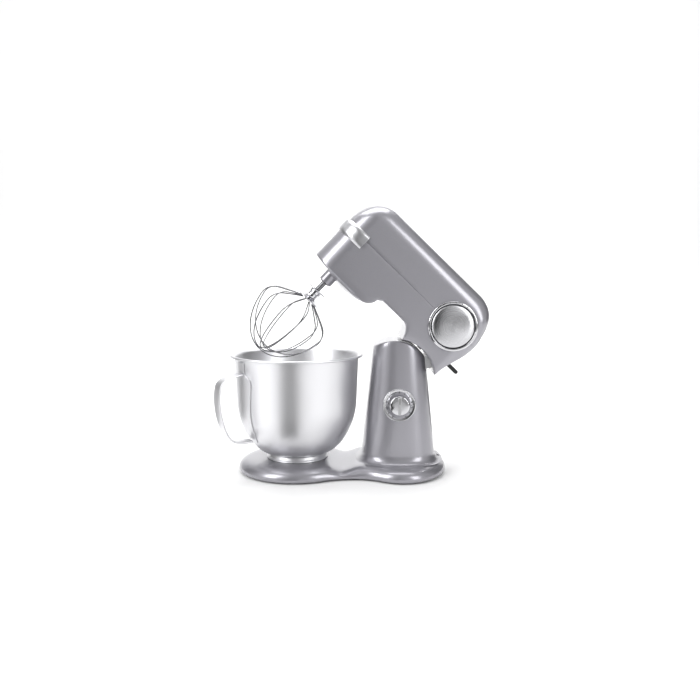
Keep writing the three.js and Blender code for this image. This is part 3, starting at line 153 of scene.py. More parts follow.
# ---- Materials -----------------------------------------------------------------------------
def material(
    name, base, metallic, roughness, grain, spread=0.08, bump=0.02, stretch=(1, 1, 1), coat=0.0
):
    """A principled finish whose colour, roughness and relief vary with a fine noise."""
    found = bpy.data.materials.get(name)
    if found:
        return found
    made = bpy.data.materials.new(name)
    made.use_nodes = True
    nodes, links = made.node_tree.nodes, made.node_tree.links
    shader = nodes["Principled BSDF"]
    shader.inputs["Metallic"].default_value = metallic
    shader.inputs["Coat Weight"].default_value = coat
    shader.inputs["Coat Roughness"].default_value = 0.08
    place = nodes.new("ShaderNodeTexCoord")
    scale = nodes.new("ShaderNodeMapping")
    scale.inputs["Scale"].default_value = stretch
    noise = nodes.new("ShaderNodeTexNoise")
    noise.inputs["Scale"].default_value = grain
    noise.inputs["Detail"].default_value = 4
    links.new(place.outputs["Object"], scale.inputs["Vector"])
    links.new(scale.outputs["Vector"], noise.inputs["Vector"])
    tone = nodes.new("ShaderNodeMix")
    tone.data_type = "RGBA"
    tone.inputs["A"].default_value = tuple(c * (1 - spread) for c in base[:3]) + (1,)
    tone.inputs["B"].default_value = tuple(min(1, c * (1 + spread)) for c in base[:3]) + (1,)
    links.new(noise.outputs["Fac"], tone.inputs["Factor"])
    links.new(tone.outputs["Result"], shader.inputs["Base Color"])
    rough = nodes.new("ShaderNodeMapRange")
    rough.inputs["To Min"].default_value = roughness * 0.8
    rough.inputs["To Max"].default_value = roughness * 1.2
    links.new(noise.outputs["Fac"], rough.inputs["Value"])
    links.new(rough.outputs["Result"], shader.inputs["Roughness"])
    relief = nodes.new("ShaderNodeBump")
    relief.inputs["Strength"].default_value = bump
    relief.inputs["Distance"].default_value = 0.0004
    links.new(noise.outputs["Fac"], relief.inputs["Height"])
    links.new(relief.outputs["Normal"], shader.inputs["Normal"])
    return made


def spun_metal(name, base, centre, axis, roughness, rings=900.0):
    """A lathe-spun finish: fine rings about an axis, and a highlight that fans out round it."""
    found = bpy.data.materials.get(name)
    if found:
        return found
    made = bpy.data.materials.new(name)
    made.use_nodes = True
    nodes, links = made.node_tree.nodes, made.node_tree.links
    shader = nodes["Principled BSDF"]
    shader.inputs["Metallic"].default_value = 1
    shader.inputs["Anisotropic"].default_value = 0.75
    place = nodes.new("ShaderNodeTexCoord")
    away = nodes.new("ShaderNodeVectorMath")
    away.operation = "SUBTRACT"
    away.inputs[1].default_value = centre
    flat = nodes.new("ShaderNodeVectorMath")
    flat.operation = "MULTIPLY"
    flat.inputs[1].default_value = tuple(0.0 if i == axis else 1.0 for i in range(3))
    reach = nodes.new("ShaderNodeVectorMath")
    reach.operation = "LENGTH"
    noise = nodes.new("ShaderNodeTexNoise")
    noise.noise_dimensions = "1D"
    noise.inputs["Scale"].default_value = rings
    noise.inputs["Detail"].default_value = 3
    links.new(place.outputs["Object"], away.inputs[0])
    links.new(away.outputs["Vector"], flat.inputs[0])
    links.new(flat.outputs["Vector"], reach.inputs[0])
    links.new(reach.outputs["Value"], noise.inputs["W"])
    tone = nodes.new("ShaderNodeMix")
    tone.data_type = "RGBA"
    tone.inputs["A"].default_value = tuple(c * 0.82 for c in base[:3]) + (1,)
    tone.inputs["B"].default_value = tuple(min(1, c * 1.12) for c in base[:3]) + (1,)
    links.new(noise.outputs["Fac"], tone.inputs["Factor"])
    links.new(tone.outputs["Result"], shader.inputs["Base Color"])
    rough = nodes.new("ShaderNodeMapRange")
    rough.inputs["To Min"].default_value = roughness * 0.7
    rough.inputs["To Max"].default_value = roughness * 1.3
    links.new(noise.outputs["Fac"], rough.inputs["Value"])
    links.new(rough.outputs["Result"], shader.inputs["Roughness"])
    grain = nodes.new("ShaderNodeTangent")
    grain.direction_type = "RADIAL"
    grain.axis = "XYZ"[axis]
    links.new(grain.outputs["Tangent"], shader.inputs["Tangent"])
    relief = nodes.new("ShaderNodeBump")
    relief.inputs["Strength"].default_value = 0.08
    relief.inputs["Distance"].default_value = 0.0002
    links.new(noise.outputs["Fac"], relief.inputs["Height"])
    links.new(relief.outputs["Normal"], shader.inputs["Normal"])
    return made


def finish_for(slot_name):
    """The material of each slot of the record."""
    tint = bpy.context.scene.mixer_colours
    table = {
        "grey_paint": ("metallic_enamel", tint.paint, 0.55, 0.3, 1800, 0.1, 0.03, (1, 1, 1), 0.5),
        "polished_steel": ("polished_steel", tint.steel, 1, 0.03, 60, 0.03, 0.003, (1, 1, 30)),
        "wire_steel": ("drawn_steel", tint.wire, 1, 0.2, 300, 0.08, 0.02),
        "chrome_trim": ("bright_plate", tint.chrome, 1, 0.08, 200, 0.03, 0.01),
        "brushed_trim": ("brushed_metal", tint.brushed, 0.85, 0.3, 90, 0.1, 0.05, (1, 25, 25)),
        "cast_alloy": ("cast_alloy", tint.alloy, 0.8, 0.5, 500, 0.12, 0.2),
        "black_plastic": ("grained_plastic", tint.black, 0, 0.45, 1500, 0.2, 0.15),
        "black_rubber": ("moulded_rubber", tint.rubber, 0, 0.8, 900, 0.2, 0.2),
        "bronze": ("sintered_bronze", (0.43, 0.26, 0.09, 1), 0.9, 0.4, 1200, 0.15, 0.1),
        "white_nylon": ("natural_nylon", (0.72, 0.69, 0.6, 1), 0, 0.5, 700, 0.04, 0.03),
        "copper_winding": ("copper_winding", (0.45, 0.16, 0.06, 1), 0.8, 0.4, 400, 0.2, 0.2),
        "green_board": ("coated_board", (0.02, 0.14, 0.05, 1), 0, 0.3, 300, 0.3, 0.05),
    }
    return material(*table[slot_name])


# ---- Making meshes -------------------------------------------------------------------------
def piece(name, verts, faces, matrix, body, slot_name, replaced=(), angle=32):
    """A closed mesh drawn in millimetres in its own frame, riding on a body."""
    mesh = bpy.data.meshes.new(name)
    mesh.from_pydata([matrix @ (Vector(v) * MM) for v in verts], [], faces)
    made = bpy.data.objects.new(name, mesh)
    bpy.context.scene.collection.objects.link(made)
    outward(mesh, angle)
    mesh.materials.append(finish_for(slot_name))
    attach(made, body)
    if replaced:
        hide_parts(*replaced)
    return made


def outward(mesh, angle):
    """Merges doubled points, turns faces out and smooths all but real edges."""
    work = bmesh.new()
    work.from_mesh(mesh)
    bmesh.ops.remove_doubles(work, verts=work.verts, dist=1e-6)
    bmesh.ops.dissolve_degenerate(work, edges=work.edges, dist=1e-7)
    bmesh.ops.recalc_face_normals(work, faces=work.faces)
    work.to_mesh(mesh)
    work.free()
    mesh.shade_smooth()
    mesh.set_sharp_from_angle(angle=math.radians(angle))


def rounded(points, radius, closed=False, steps=4):
    """A polyline whose corners are rounded with short curves; points on the axis stay."""
    out = []
    count = len(points)
    for i, point in enumerate(points):
        here = Vector(point)
        if not closed and i in (0, count - 1):
            out.append(tuple(here))
            continue
        before, after = Vector(points[i - 1]), Vector(points[(i + 1) % count])
        a, b = before - here, after - here
        reach = min(radius, 0.45 * a.length, 0.45 * b.length)
        start, end = here + a.normalized() * reach, here + b.normalized() * reach
        for k in range(steps + 1):
            t = k / steps
            out.append(tuple(start * (1 - t) ** 2 + here * 2 * t * (1 - t) + end * t * t))
    return out


def bezier(a, b, c, d, steps):
    """Points of a cubic curve, without its first."""
    a, b, c, d = map(Vector, (a, b, c, d))
    points = []
    for i in range(1, steps + 1):
        t = i / steps
        u = 1 - t
        points.append(tuple(a * u**3 + b * 3 * u * u * t + c * 3 * u * t * t + d * t**3))
    return points


def spline(points, steps):
    """A smooth line through unevenly spaced points."""
    p = [Vector(q) for q in points]
    p = [p[0] * 2 - p[1]] + p + [p[-1] * 2 - p[-2]]
    out = []
    for i in range(1, len(p) - 2):
        t0 = 0.0
        t1 = t0 + (p[i] - p[i - 1]).length ** 0.5
        t2 = t1 + (p[i + 1] - p[i]).length ** 0.5
        t3 = t2 + (p[i + 2] - p[i + 1]).length ** 0.5
        for k in range(steps):
            t = t1 + (t2 - t1) * k / steps
            a = p[i - 1].lerp(p[i], (t - t0) / (t1 - t0))
            b = p[i].lerp(p[i + 1], (t - t1) / (t2 - t1))
            c = p[i + 1].lerp(p[i + 2], (t - t2) / (t3 - t2))
            near, far = a.lerp(b, (t - t0) / (t2 - t0)), b.lerp(c, (t - t1) / (t3 - t1))
            out.append(near.lerp(far, (t - t1) / (t2 - t1)))
    return out + [p[-2]]


def revolved(profile, facets=96, closed=False):
    """Vertices and faces of a profile of (radius, z) turned about Z."""
    verts, faces = [], []
    rows = len(profile)
    for radius, z in profile:
        for i in range(facets):
            turn = 2 * math.pi * i / facets
            verts.append((radius * math.cos(turn), radius * math.sin(turn), z))
    for row in range(rows if closed else rows - 1):
        low, high = row * facets, (row + 1) % rows * facets
        for i in range(facets):
            k = (i + 1) % facets
            faces.append((low + i, low + k, high + k, high + i))
    return verts, faces


def lofted(rings, loop=False):
    """Vertices and faces over rings with equally many points, with flat ends unless it loops."""
    count = len(rings[0])
    verts = [point for ring in rings for point in ring]
    faces = []
    for row in range(len(rings) if loop else len(rings) - 1):
        low, high = row * count, (row + 1) % len(rings) * count
        for i in range(count):
            k = (i + 1) % count
            faces.append((low + i, low + k, high + k, high + i))
    if not loop:
        faces.append(tuple(range(count))[::-1])
        faces.append(tuple(range(len(verts) - count, len(verts))))
    return verts, faces


def swept(path, section, side):
    """A section of (across, up) pairs carried along a path; side is the across direction."""
    rings = []
    side = Vector(side)
    for i, point in enumerate(path):
        way = (path[min(i + 1, len(path) - 1)] - path[max(i - 1, 0)]).normalized()
        up = way.cross(side).normalized()
        rings.append([tuple(point + side * a + up * b) for a, b in section])
    return lofted(rings)


def cutter(verts, faces, matrix):
    """A body for boolean cuts, drawn in millimetres; carved removes it again."""
    mesh = bpy.data.meshes.new("cutter")
    mesh.from_pydata([Vector(v) * MM for v in verts], [], faces)
    outward(mesh, 30)
    made = bpy.data.objects.new("cutter", mesh)
    bpy.context.scene.collection.objects.link(made)
    made.matrix_world = matrix
    return made


def block(x0, x1, y0, y1, z0, z1):
    """A box between two values on each axis."""
    ring = [(x0, y0), (x1, y0), (x1, y1), (x0, y1)]
    return lofted([[(x, y, z) for x, y in ring] for z in (z0, z1)])


def rod_y(radius, y0, y1, x=0, z=0, facets=96):
    """A rod along Y."""
    ring = [2 * math.pi * i / facets for i in range(facets)]
    return lofted([[(x + radius * math.cos(t), y, z + radius * math.sin(t)) for t in ring] for y in (y0, y1)])


def rod_x(radius, x0, x1, z=0, facets=64):
    """A rod along X about the centre plane."""
    ring = [2 * math.pi * i / facets for i in range(facets)]
    return lofted([[(x, radius * math.cos(t), z + radius * math.sin(t)) for t in ring] for x in (x0, x1)])


def sector(inner, outer, low, high, half, z=0):
    """A block of the ring between two radii and two angles about the Y axis."""
    turns = np.radians(np.linspace(low, high, 24))
    line = [(outer * math.cos(t), outer * math.sin(t) + z) for t in turns]
    line += [(inner * math.cos(t), inner * math.sin(t) + z) for t in turns[::-1]]
    return lofted([[(x, y, up) for x, up in line] for y in (-half, half)])


def carved(made, cutters, operation="DIFFERENCE", bevel=0.0, angle=32):
    """Applies boolean cuts, and a small bevel on the edges that they leave."""
    for tool in cutters:
        cut = made.modifiers.new("cut", "BOOLEAN")
        cut.operation = operation
        cut.object = tool
        cut.solver = "EXACT"
    if bevel:
        soft = made.modifiers.new("soft", "BEVEL")
        soft.width = bevel
        soft.segments = 2
        soft.limit_method = "ANGLE"
        soft.angle_limit = math.radians(45)
    bpy.context.view_layer.update()
    graph = bpy.context.evaluated_depsgraph_get()
    result = bpy.data.meshes.new_from_object(made.evaluated_get(graph))
    made.modifiers.clear()
    made.data = result
    outward(result, angle)
    for tool in cutters:
        bpy.data.objects.remove(tool)
    return made


# ---- Pedestal ------------------------------------------------------------------------------
def base_half(sizes):
    """Half of the base's plan, from the front along the waist to the rear."""
    leave = math.radians(62)
    lobe, long, wide = sizes.front_lobe / MM, sizes.rear_lobe_length / MM, sizes.rear_lobe_width / MM
    front = [(-REACH + lobe * math.cos(t), lobe * math.sin(t)) for t in np.linspace(math.pi, leave, 40)]
    back = [(12 + long * math.cos(t), wide * math.sin(t)) for t in np.linspace(math.pi - leave, 0, 40)]
    out = Vector((math.sin(leave), -math.cos(leave))) * 31
    into = Vector((long * math.sin(leave), wide * math.cos(leave))).normalized() * 31
    start, end = Vector(front[-1]), Vector(back[0])
    waist = bezier(start, start + out, end - into, end, 26)
    return front + waist + back[1:]


def shrunk(line, distance):
    """A half outline moved inwards; its two ends stay on the centre plane."""
    out = []
    for i, point in enumerate(line):
        before, after = Vector(line[max(i - 1, 0)]), Vector(line[min(i + 1, len(line) - 1)])
        way = (after - before).normalized()
        if i in (0, len(line) - 1):
            way = Vector((0, 1)) if i == 0 else Vector((0, -1))
        out.append((point[0] + way.y * distance, point[1] - way.x * distance))
    return out


def dip(sizes, x):
    """How far the base is lowered at x: 1 on the lobes, less on the waist."""
    low = sizes.waist_top / sizes.base_top
    t = min(1, abs(x - WAIST_X) / WAIST_REACH)
    return low + (1 - low) * (3 * t * t - 2 * t**3)


def lowered(sizes, x, z):
    """The height z of the base at x, lowered towards its lip on the waist."""
    return LIP_Z + (z - LIP_Z) * dip(sizes, x) if z > LIP_Z else z


def base_surface(sizes):
    """The base: rings from its lower lip over the edge, then strips across the top."""
    line = base_half(sizes)
    top = sizes.base_top / MM
    section = [(6.5, 8), (6.5, 3.2), (5.9, LIP_Z), (2.6, LIP_Z), (1.3, 3.6), (0.4, 5), (0, 7)]
    section += [(0.3, 9.6), (1.2, 12), (2.8, 14.6), (5.2, 17.2), (8.6, 19.5), (13, 21.2), (19, 22.3)]
    section += [(27, top)]
    rings = []
    for distance, z in section:
        half = shrunk(line, distance)
        ring = half + [(x, -y) for x, y in half[-2:0:-1]]
        rings.append([(x, y, lowered(sizes, x, z)) for x, y in ring])
    verts, faces = lofted(rings)
    faces.pop()
    last = shrunk(line, section[-1][0])
    across = [k / 8 for k in range(8, -9, -1)]
    rows = [[(x, y * part, lowered(sizes, x, top)) for part in across] for x, y in last]
    start, count = len(verts), len(across)
    verts += [point for row in rows for point in row]
    for i in range(len(rows) - 1):
        for k in range(count - 1):
            a = start + i * count + k
            faces.append((a, a + 1, a + count + 1, a + count))
    return verts, faces


def column_point(sizes, turn, z, growth=0.0):
    """A point of the column's squarish plan at a height, moved out by growth."""
    power = 2 / COLUMN_SQUARENESS
    c, s = math.cos(turn), math.sin(turn)
    long = sizes.column_length / MM - COLUMN_TAPER_LONG * z + growth
    wide = sizes.column_width / MM - COLUMN_TAPER_WIDE * z + growth
    x = math.copysign(abs(c) ** power, c) * long
    y = math.copysign(abs(s) ** power, s) * wide
    return COLUMN_X + x, y


def barrel_top(sizes, x):
    """Height of the column's round top at x."""
    radius = sizes.barrel / MM
    return HINGE.z / MM + math.sqrt(max(0.0, radius * radius - x * x))


def column_rim(sizes, turn):
    """Where the flank under one angle meets the round top."""
    z = HINGE.z / MM
    for _ in range(30):
        z = 0.5 * z + 0.5 * barrel_top(sizes, column_point(sizes, turn, z)[0])
    return z


def column_surface(sizes):
    """The column: a fillet that grows out of the base, the flank and the round top."""
    turns = [2 * math.pi * i / 144 for i in range(144)]
    rims = [column_rim(sizes, t) for t in turns]
    foot = sizes.base_top / MM
    rings = []
    for k in range(9):
        part = k / 8
        ring = []
        for t in turns:
            climb = 1 - math.cos(part * math.pi / 2)
            growth = FILLET_REACH * (1 - math.sin(part * math.pi / 2))
            x, y = column_point(sizes, t, foot + FILLET_RISE * climb, growth)
            under = lowered(sizes, x, foot) - 0.4
            ring.append((x, y, under + (foot + FILLET_RISE - under) * climb))
        rings.append(ring)
    soft = 2.6
    for k in range(1, 31):
        ring = []
        for t, rim in zip(turns, rims):
            z = foot + FILLET_RISE + (rim - soft - foot - FILLET_RISE) * k / 30
            ring.append((*column_point(sizes, t, z), z))
        rings.append(ring)
    for k in range(1, 6):
        bend = math.pi / 2 * k / 5
        ring = []
        for t, rim in zip(turns, rims):
            x, y = column_point(sizes, t, rim, -soft * (1 - math.cos(bend)))
            drop = soft * (1 - math.sin(bend))
            ring.append((x, y, min(barrel_top(sizes, x), rim + 4) - drop))
        rings.append(ring)
    edge = rings[-1]
    for part in (0.9, 0.78, 0.64, 0.5, 0.36, 0.22, 0.1):
        ring = []
        for x, y, _ in edge:
            across = COLUMN_X + (x - COLUMN_X) * part
            ring.append((across, y * part, barrel_top(sizes, across)))
        rings.append(ring)
    return lofted(rings)


def column_hollow(sizes, wall=3.5):
    """The room inside the column, from below the hinge up to the round top."""
    turns = [2 * math.pi * i / 96 for i in range(96)]
    rims = [column_rim(sizes, t) - wall for t in turns]
    rings = []
    for k in range(13):
        ring = []
        for t, rim in zip(turns, rims):
            z = 100 + (rim - 100) * k / 12
            ring.append((*column_point(sizes, t, z, -wall), z))
        rings.append(ring)
    edge = rings[-1]
    for part in (0.85, 0.65, 0.4, 0.15):
        ring = []
        for x, y, z in edge:
            across = COLUMN_X + (x - COLUMN_X) * part
            ring.append((across, y * part, max(z - 1, barrel_top(sizes, across) - wall)))
        rings.append(ring)
    return lofted(rings)


class MIXER_OT_pedestal(bpy.types.Operator):
    """Make the base and the column"""

    bl_idname = "mixer.pedestal"
    bl_label = "Pedestal"

    def execute(self, context):
        sizes = context.scene.mixer_sizes
        verts, faces = base_surface(sizes)
        base = piece("base_casting", verts, faces, PEDESTAL, "pedestal", "grey_paint", ("pedestal_casting",))
        inlet = cutter(*rod_x(INLET_RADIUS, 60, 120, INLET_Z), PEDESTAL)
        carved(base, [inlet])
        verts, faces = column_surface(sizes)
        column = piece("column_casting", verts, faces, PEDESTAL, "pedestal", "grey_paint")
        height = HINGE.z / MM
        pocket = cutter(*column_hollow(sizes), PEDESTAL)
        carved(pocket, [cutter(*block(-90, 120, -25, 25, 118, 260), PEDESTAL)], "INTERSECT")
        slot = cutter(*sector(40, 75, 10, 78, 25, height), PEDESTAL)
        carved(column, [pocket, slot], bevel=0.0006)
        return {"FINISHED"}


# ---- Dial ----------------------------------------------------------------------------------
def dial_frame():
    """The dial's own frame: Z along its axis, Y as upright as that allows."""
    joint = JOINTS["dial_turn"]
    out = Vector(joint["axis"]).normalized()
    up = (Vector((0, 0, 1)) - out * out.z).normalized()
    turn = Matrix((up.cross(out), up, out)).transposed().to_4x4()
    return Matrix.Translation(joint["pos_m"]) @ turn


class MIXER_OT_dial(bpy.types.Operator):
    """Make the speed dial, its bezel and its scale"""

    bl_idname = "mixer.dial"
    bl_label = "Speed dial"

    def execute(self, context):
        at = dial_frame()
        rim = [(6.6, 0.2), (28, 0.2), (28, 4.6), (26.6, 6), (23, 5.2), (19, 3.4), (6.6, 3.1)]
        made = piece("bezel_ring", *revolved(rounded(rim, 0.8, True), closed=True), at, "pedestal",
                     "brushed_trim", ("dial_bezel",))
        tint = context.scene.mixer_colours.brushed
        made.data.materials[0] = spun_metal("spun_bezel", tint, tuple(at.translation), 1, 0.22)
        knob = [(0, 3.4), (17.2, 3.4), (17.5, 4.4), (16.8, 14.2), (15.2, 16.1), (9, 16.3), (0, 16.3)]
        piece("dial_knob", *revolved(rounded(knob, 0.9)), at, "dial", "chrome_trim", ("speed_dial",))
        layers = []
        for inset, z in ((0, 15.8), (0, 17.2), (0.25, 18), (0.9, 18.5)):
            wide, long = 2.6 - inset, 14.5 - inset
            corners = [(-wide, -long, z), (wide, -long, z), (wide, long, z), (-wide, long, z)]
            layers.append(rounded(corners, 1.8, True))
        piece("dial_bar", *lofted(layers), at, "dial", "cast_alloy")
        line = lofted([[(-0.5, 3, z), (0.5, 3, z), (0.5, 13.6, z), (-0.5, 13.6, z)] for z in (18.3, 18.62)])
        piece("dial_pointer", *line, at, "dial", "black_plastic")
        for i in range(MARK_COUNT):
            turn = math.radians(MARK_FIRST + MARK_STEP * i)
            out = Vector((math.sin(turn), math.cos(turn), 0))
            side = Vector((math.cos(turn), -math.sin(turn), 0)) * MARK_HALF
            inner, outer = out * MARK_RADIUS, out * (MARK_RADIUS + (2.6 if i % 3 else 3.6))
            ring = [inner - side, inner + side, outer + side, outer - side]
            tick = lofted([[tuple(p + Vector((0, 0, z))) for p in ring] for z in (3.4, 5.75)])
            piece(f"dial_mark_{i + 1}", *tick, at, "pedestal", "black_plastic")
        return {"FINISHED"}


# ---- Bowl ----------------------------------------------------------------------------------
def bowl_line(offset):
    """The bowl's outer skin from the middle of its floor to the rim, moved out by offset."""
    curve = [BOWL_FLOOR] + bezier(BOWL_FLOOR, (76, 36), (100, 76), BOWL_SHOULDER, 24)
    out = [(0, 32 - offset)]
    for i, point in enumerate(curve):
        way = Vector(curve[min(i + 1, len(curve) - 1)]) - Vector(curve[max(i - 1, 0)])
        way.normalize()
        out.append((point[0] + way.y * offset, point[1] - way.x * offset))
    return out + [(BOWL_RIM[0] + offset, BOWL_RIM[1])]


class MIXER_OT_bowl(bpy.types.Operator):
    """Make the steel bowl, its foot and its handle"""

    bl_idname = "mixer.bowl"
    bl_label = "Bowl and handle"

    def execute(self, context):
        sizes = context.scene.mixer_sizes
        wall = sizes.bowl_wall / MM
        inside = bowl_line(-wall)[::-1]
        rim = [(108, 201.6)]
        rim += [(112.6 + 2.3 * math.cos(t), 202.5 + 2.3 * math.sin(t)) for t in np.linspace(-2.6, 1.9, 14)]
        rim += [(108.4, 203.2), (106.4, 200.6)]
        shell = bowl_line(0) + rim + inside
        piece("bowl_body", *revolved(shell, 144), BOWL, "bowl", "polished_steel", ("bowl_shell",), 40)
        foot = [(50.8, 23.1), (53.9, 23.1), (53.9, 24.6), (51.6, 27), (50, 31.6), (48, 31.6)]
        verts, faces = revolved(rounded(foot, 0.7, True), 144, True)
        piece("bowl_foot_ring", verts, faces, BOWL, "bowl", "polished_steel", ("bowl_foot",))
        self.handle(sizes)
        return {"FINISHED"}

    def handle(self, sizes):
        at = BOWL @ Matrix.Rotation(math.pi + math.radians(HANDLE_TURN), 4, "Z")
        line = [(109.6, 177.2), (138, 170.5), (146.5, 163), (150, 148), (150, 128), (146.5, 106), (141, 88)]
        line += [(134, 74), (124, 65.5), (110, 62.6), (92, 62.5)]
        path = spline([(r, 0, z) for r, z in line], 8)
        half = sizes.handle_width / MM / 2
        flat = [(-half, -1.5), (half, -1.5), (half, 1.5), (-half, 1.5)]
        section = [(p[0], p[1]) for p in rounded([(a, b, 0) for a, b in flat], 1.3, True)]
        verts, faces = swept(path, section, (0, 1, 0))
        piece("strap_handle", verts, faces, at, "bowl", "polished_steel", ("bowl_handle",), 50)
        skin = bowl_line(0)
        radii, heights = zip(*[p for p in skin if p[1] > 45])
        rings = []
        for z in np.linspace(60, 196, 60):
            radius = float(np.interp(z, heights, radii))
            wide = float(np.interp(z, [60, 74, 160, 168, 178, 196], [13, 17, 26.5, 25, 11.5, 10.5]))
            outer = [(radius + 1.7, wide * k / 10) for k in range(-10, 11)]
            inner = [(radius + 0.4, wide * k / 10) for k in range(10, -11, -1)]
            ring = []
            for r, side in [(r, side / r) for r, side in outer + inner]:
                ring.append((r * math.cos(side), r * math.sin(side), z))
            rings.append(ring)
        plate = piece("handle_shield", *lofted(rings), at, "bowl", "polished_steel", ("handle_plate",), 40)
        plate.modifiers.new("soft", "BEVEL").width = 0.0003


# ---- Head ----------------------------------------------------------------------------------
def head_under():
    """The head's lower outline from nose to tail, closed position, as (x, z)."""
    line = [(NOSE_X, 56), (-211, HEAD_UNDER), (-130, HEAD_UNDER)]
    line += bezier((-130, HEAD_UNDER), (-119.5, 56), (-113.5, 63), (-112.5, 72), 12)
    line += [(-104.5, HEAD_SHELF), (-59.5, HEAD_SHELF)]
    line += bezier((-59.5, HEAD_SHELF), (-47, HEAD_SHELF), (-41, 66), (-37.6, 53.7), 14)
    line += [(65.5 * math.cos(t), 65.5 * math.sin(t)) for t in np.radians(np.linspace(124, 48.7, 40))]
    line += bezier((43.2, 49.2), (43.5, 80), (TAIL_X, 100), (TAIL_X, TAIL_Z), 24)
    return line


def head_over():
    """The head's upper outline from nose to tail."""
    line = [(NOSE_X, 150)]
    line += bezier((NOSE_X, 150), (-236.5, 176), (-212.5, HEAD_TOP), (-186.5, HEAD_TOP), 26)
    line += [(x, HEAD_TOP) for x in (-150, -100, -50, 6)]
    line += bezier((6, HEAD_TOP), (42.3, HEAD_TOP), (TAIL_X, 170), (TAIL_X, TAIL_Z), 30)
    return line


def head_width(sizes, x, inset):
    """Half width of the head in plan at x."""
    half, nose, tail = (v / MM for v in (sizes.head_half_width, sizes.head_nose, sizes.head_tail))
    front, back = NOSE_X + nose - x, x - TAIL_X + tail
    if front > 0:
        return half - nose + math.sqrt(max(0, nose * nose - front * front)) - inset
    if back > 0:
        return half - tail + math.sqrt(max(0, tail * tail - back * back)) - inset
    return half - inset


def head_ring(half, low, high, edge, x):
    """A cross-section: flat underside, straight flanks, well rounded top edges."""
    tall = max(high - low, 0.02)
    top = min(edge, tall * 0.6, half * 0.9)
    foot = min(3.5, tall * 0.3, half * 0.5)
    right = [(half * k / 7, low) for k in range(5)]
    for t in np.linspace(-math.pi / 2, 0, 6):
        right.append((half - foot + foot * math.cos(t), low + foot + foot * math.sin(t)))
    for k in range(1, 10):
        right.append((half, low + foot + (tall - foot - top) * k / 10))
    for t in np.linspace(0, math.pi / 2, 14):
        right.append((half - top + top * math.cos(t), high - top + top * math.sin(t)))
    right += [((half - top) * k / 4, high) for k in (3, 2, 1, 0)]
    left = [(-y, z) for y, z in right[-2:0:-1]]
    return [(x, y, z) for y, z in right + left]


def head_surface(sizes, inset):
    """The closed skin of the head, moved in by inset."""
    under, over = head_under(), head_over()
    low_x, low_z = zip(*sorted(under))
    high_x, high_z = zip(*sorted(over))
    stations = sorted({round(x, 3) for x, _ in under + over})
    first, last = NOSE_X + inset, TAIL_X - max(inset, 0.05)
    stations = [first] + [x for x in stations if first + 0.15 < x < last - 0.02] + [last]
    rings = []
    for x in stations:
        low = float(np.interp(x, low_x, low_z)) + inset
        high = float(np.interp(x, high_x, high_z)) - inset
        if high <= low:
            low = high = (low + high) / 2
        rings.append(head_ring(head_width(sizes, x, inset), low, high, sizes.head_edge / MM - inset, x))
    return lofted(rings)


class MIXER_OT_head(bpy.types.Operator):
    """Make the head's upper cover and lower housing"""

    bl_idname = "mixer.head"
    bl_label = "Head casing"

    def execute(self, context):
        sizes = context.scene.mixer_sizes
        wall = sizes.head_wall / MM
        for name, node, low, high in (
            ("head_housing", "head_lower_housing", 0, CAP_Z - SEAM),
            ("head_cover", "head_top_cover", CAP_Z, 260),
        ):
            made = piece(name, *head_surface(sizes, 0), HEAD, "head", "grey_paint", (node,))
            tools = [
                cutter(*head_surface(sizes, wall), HEAD),
                cutter(*rod_y(38.4, -90, 90, CAP_X, CAP_Z), HEAD),
                cutter(*rod_x(19, -300, -218, OUTLET_Z), HEAD),
            ]
            if node == "head_lower_housing":
                # the hub's well, the knuckle's arm, the lever's slot and the latch bolt's hole
                tools += [
                    cutter(*revolved(rounded([(0, 20), (41.5, 20), (41.5, 75), (0, 75)], 0.1)), HUB),
                    cutter(*sector(60, 74, 55.5, 76.5, 22.4), HEAD),
                    cutter(*block(30, 90, -9.6, 9.6, 66.7, 81.9), HEAD),
                    cutter(*block(-4.5, 4.5, -6.5, 6.5, 50, 75), HEAD),
                ]
            carved(made, tools)
            carved(made, [cutter(*block(-400, 400, -200, 200, low, high), HEAD)], "INTERSECT", 0.0004)
        return {"FINISHED"}


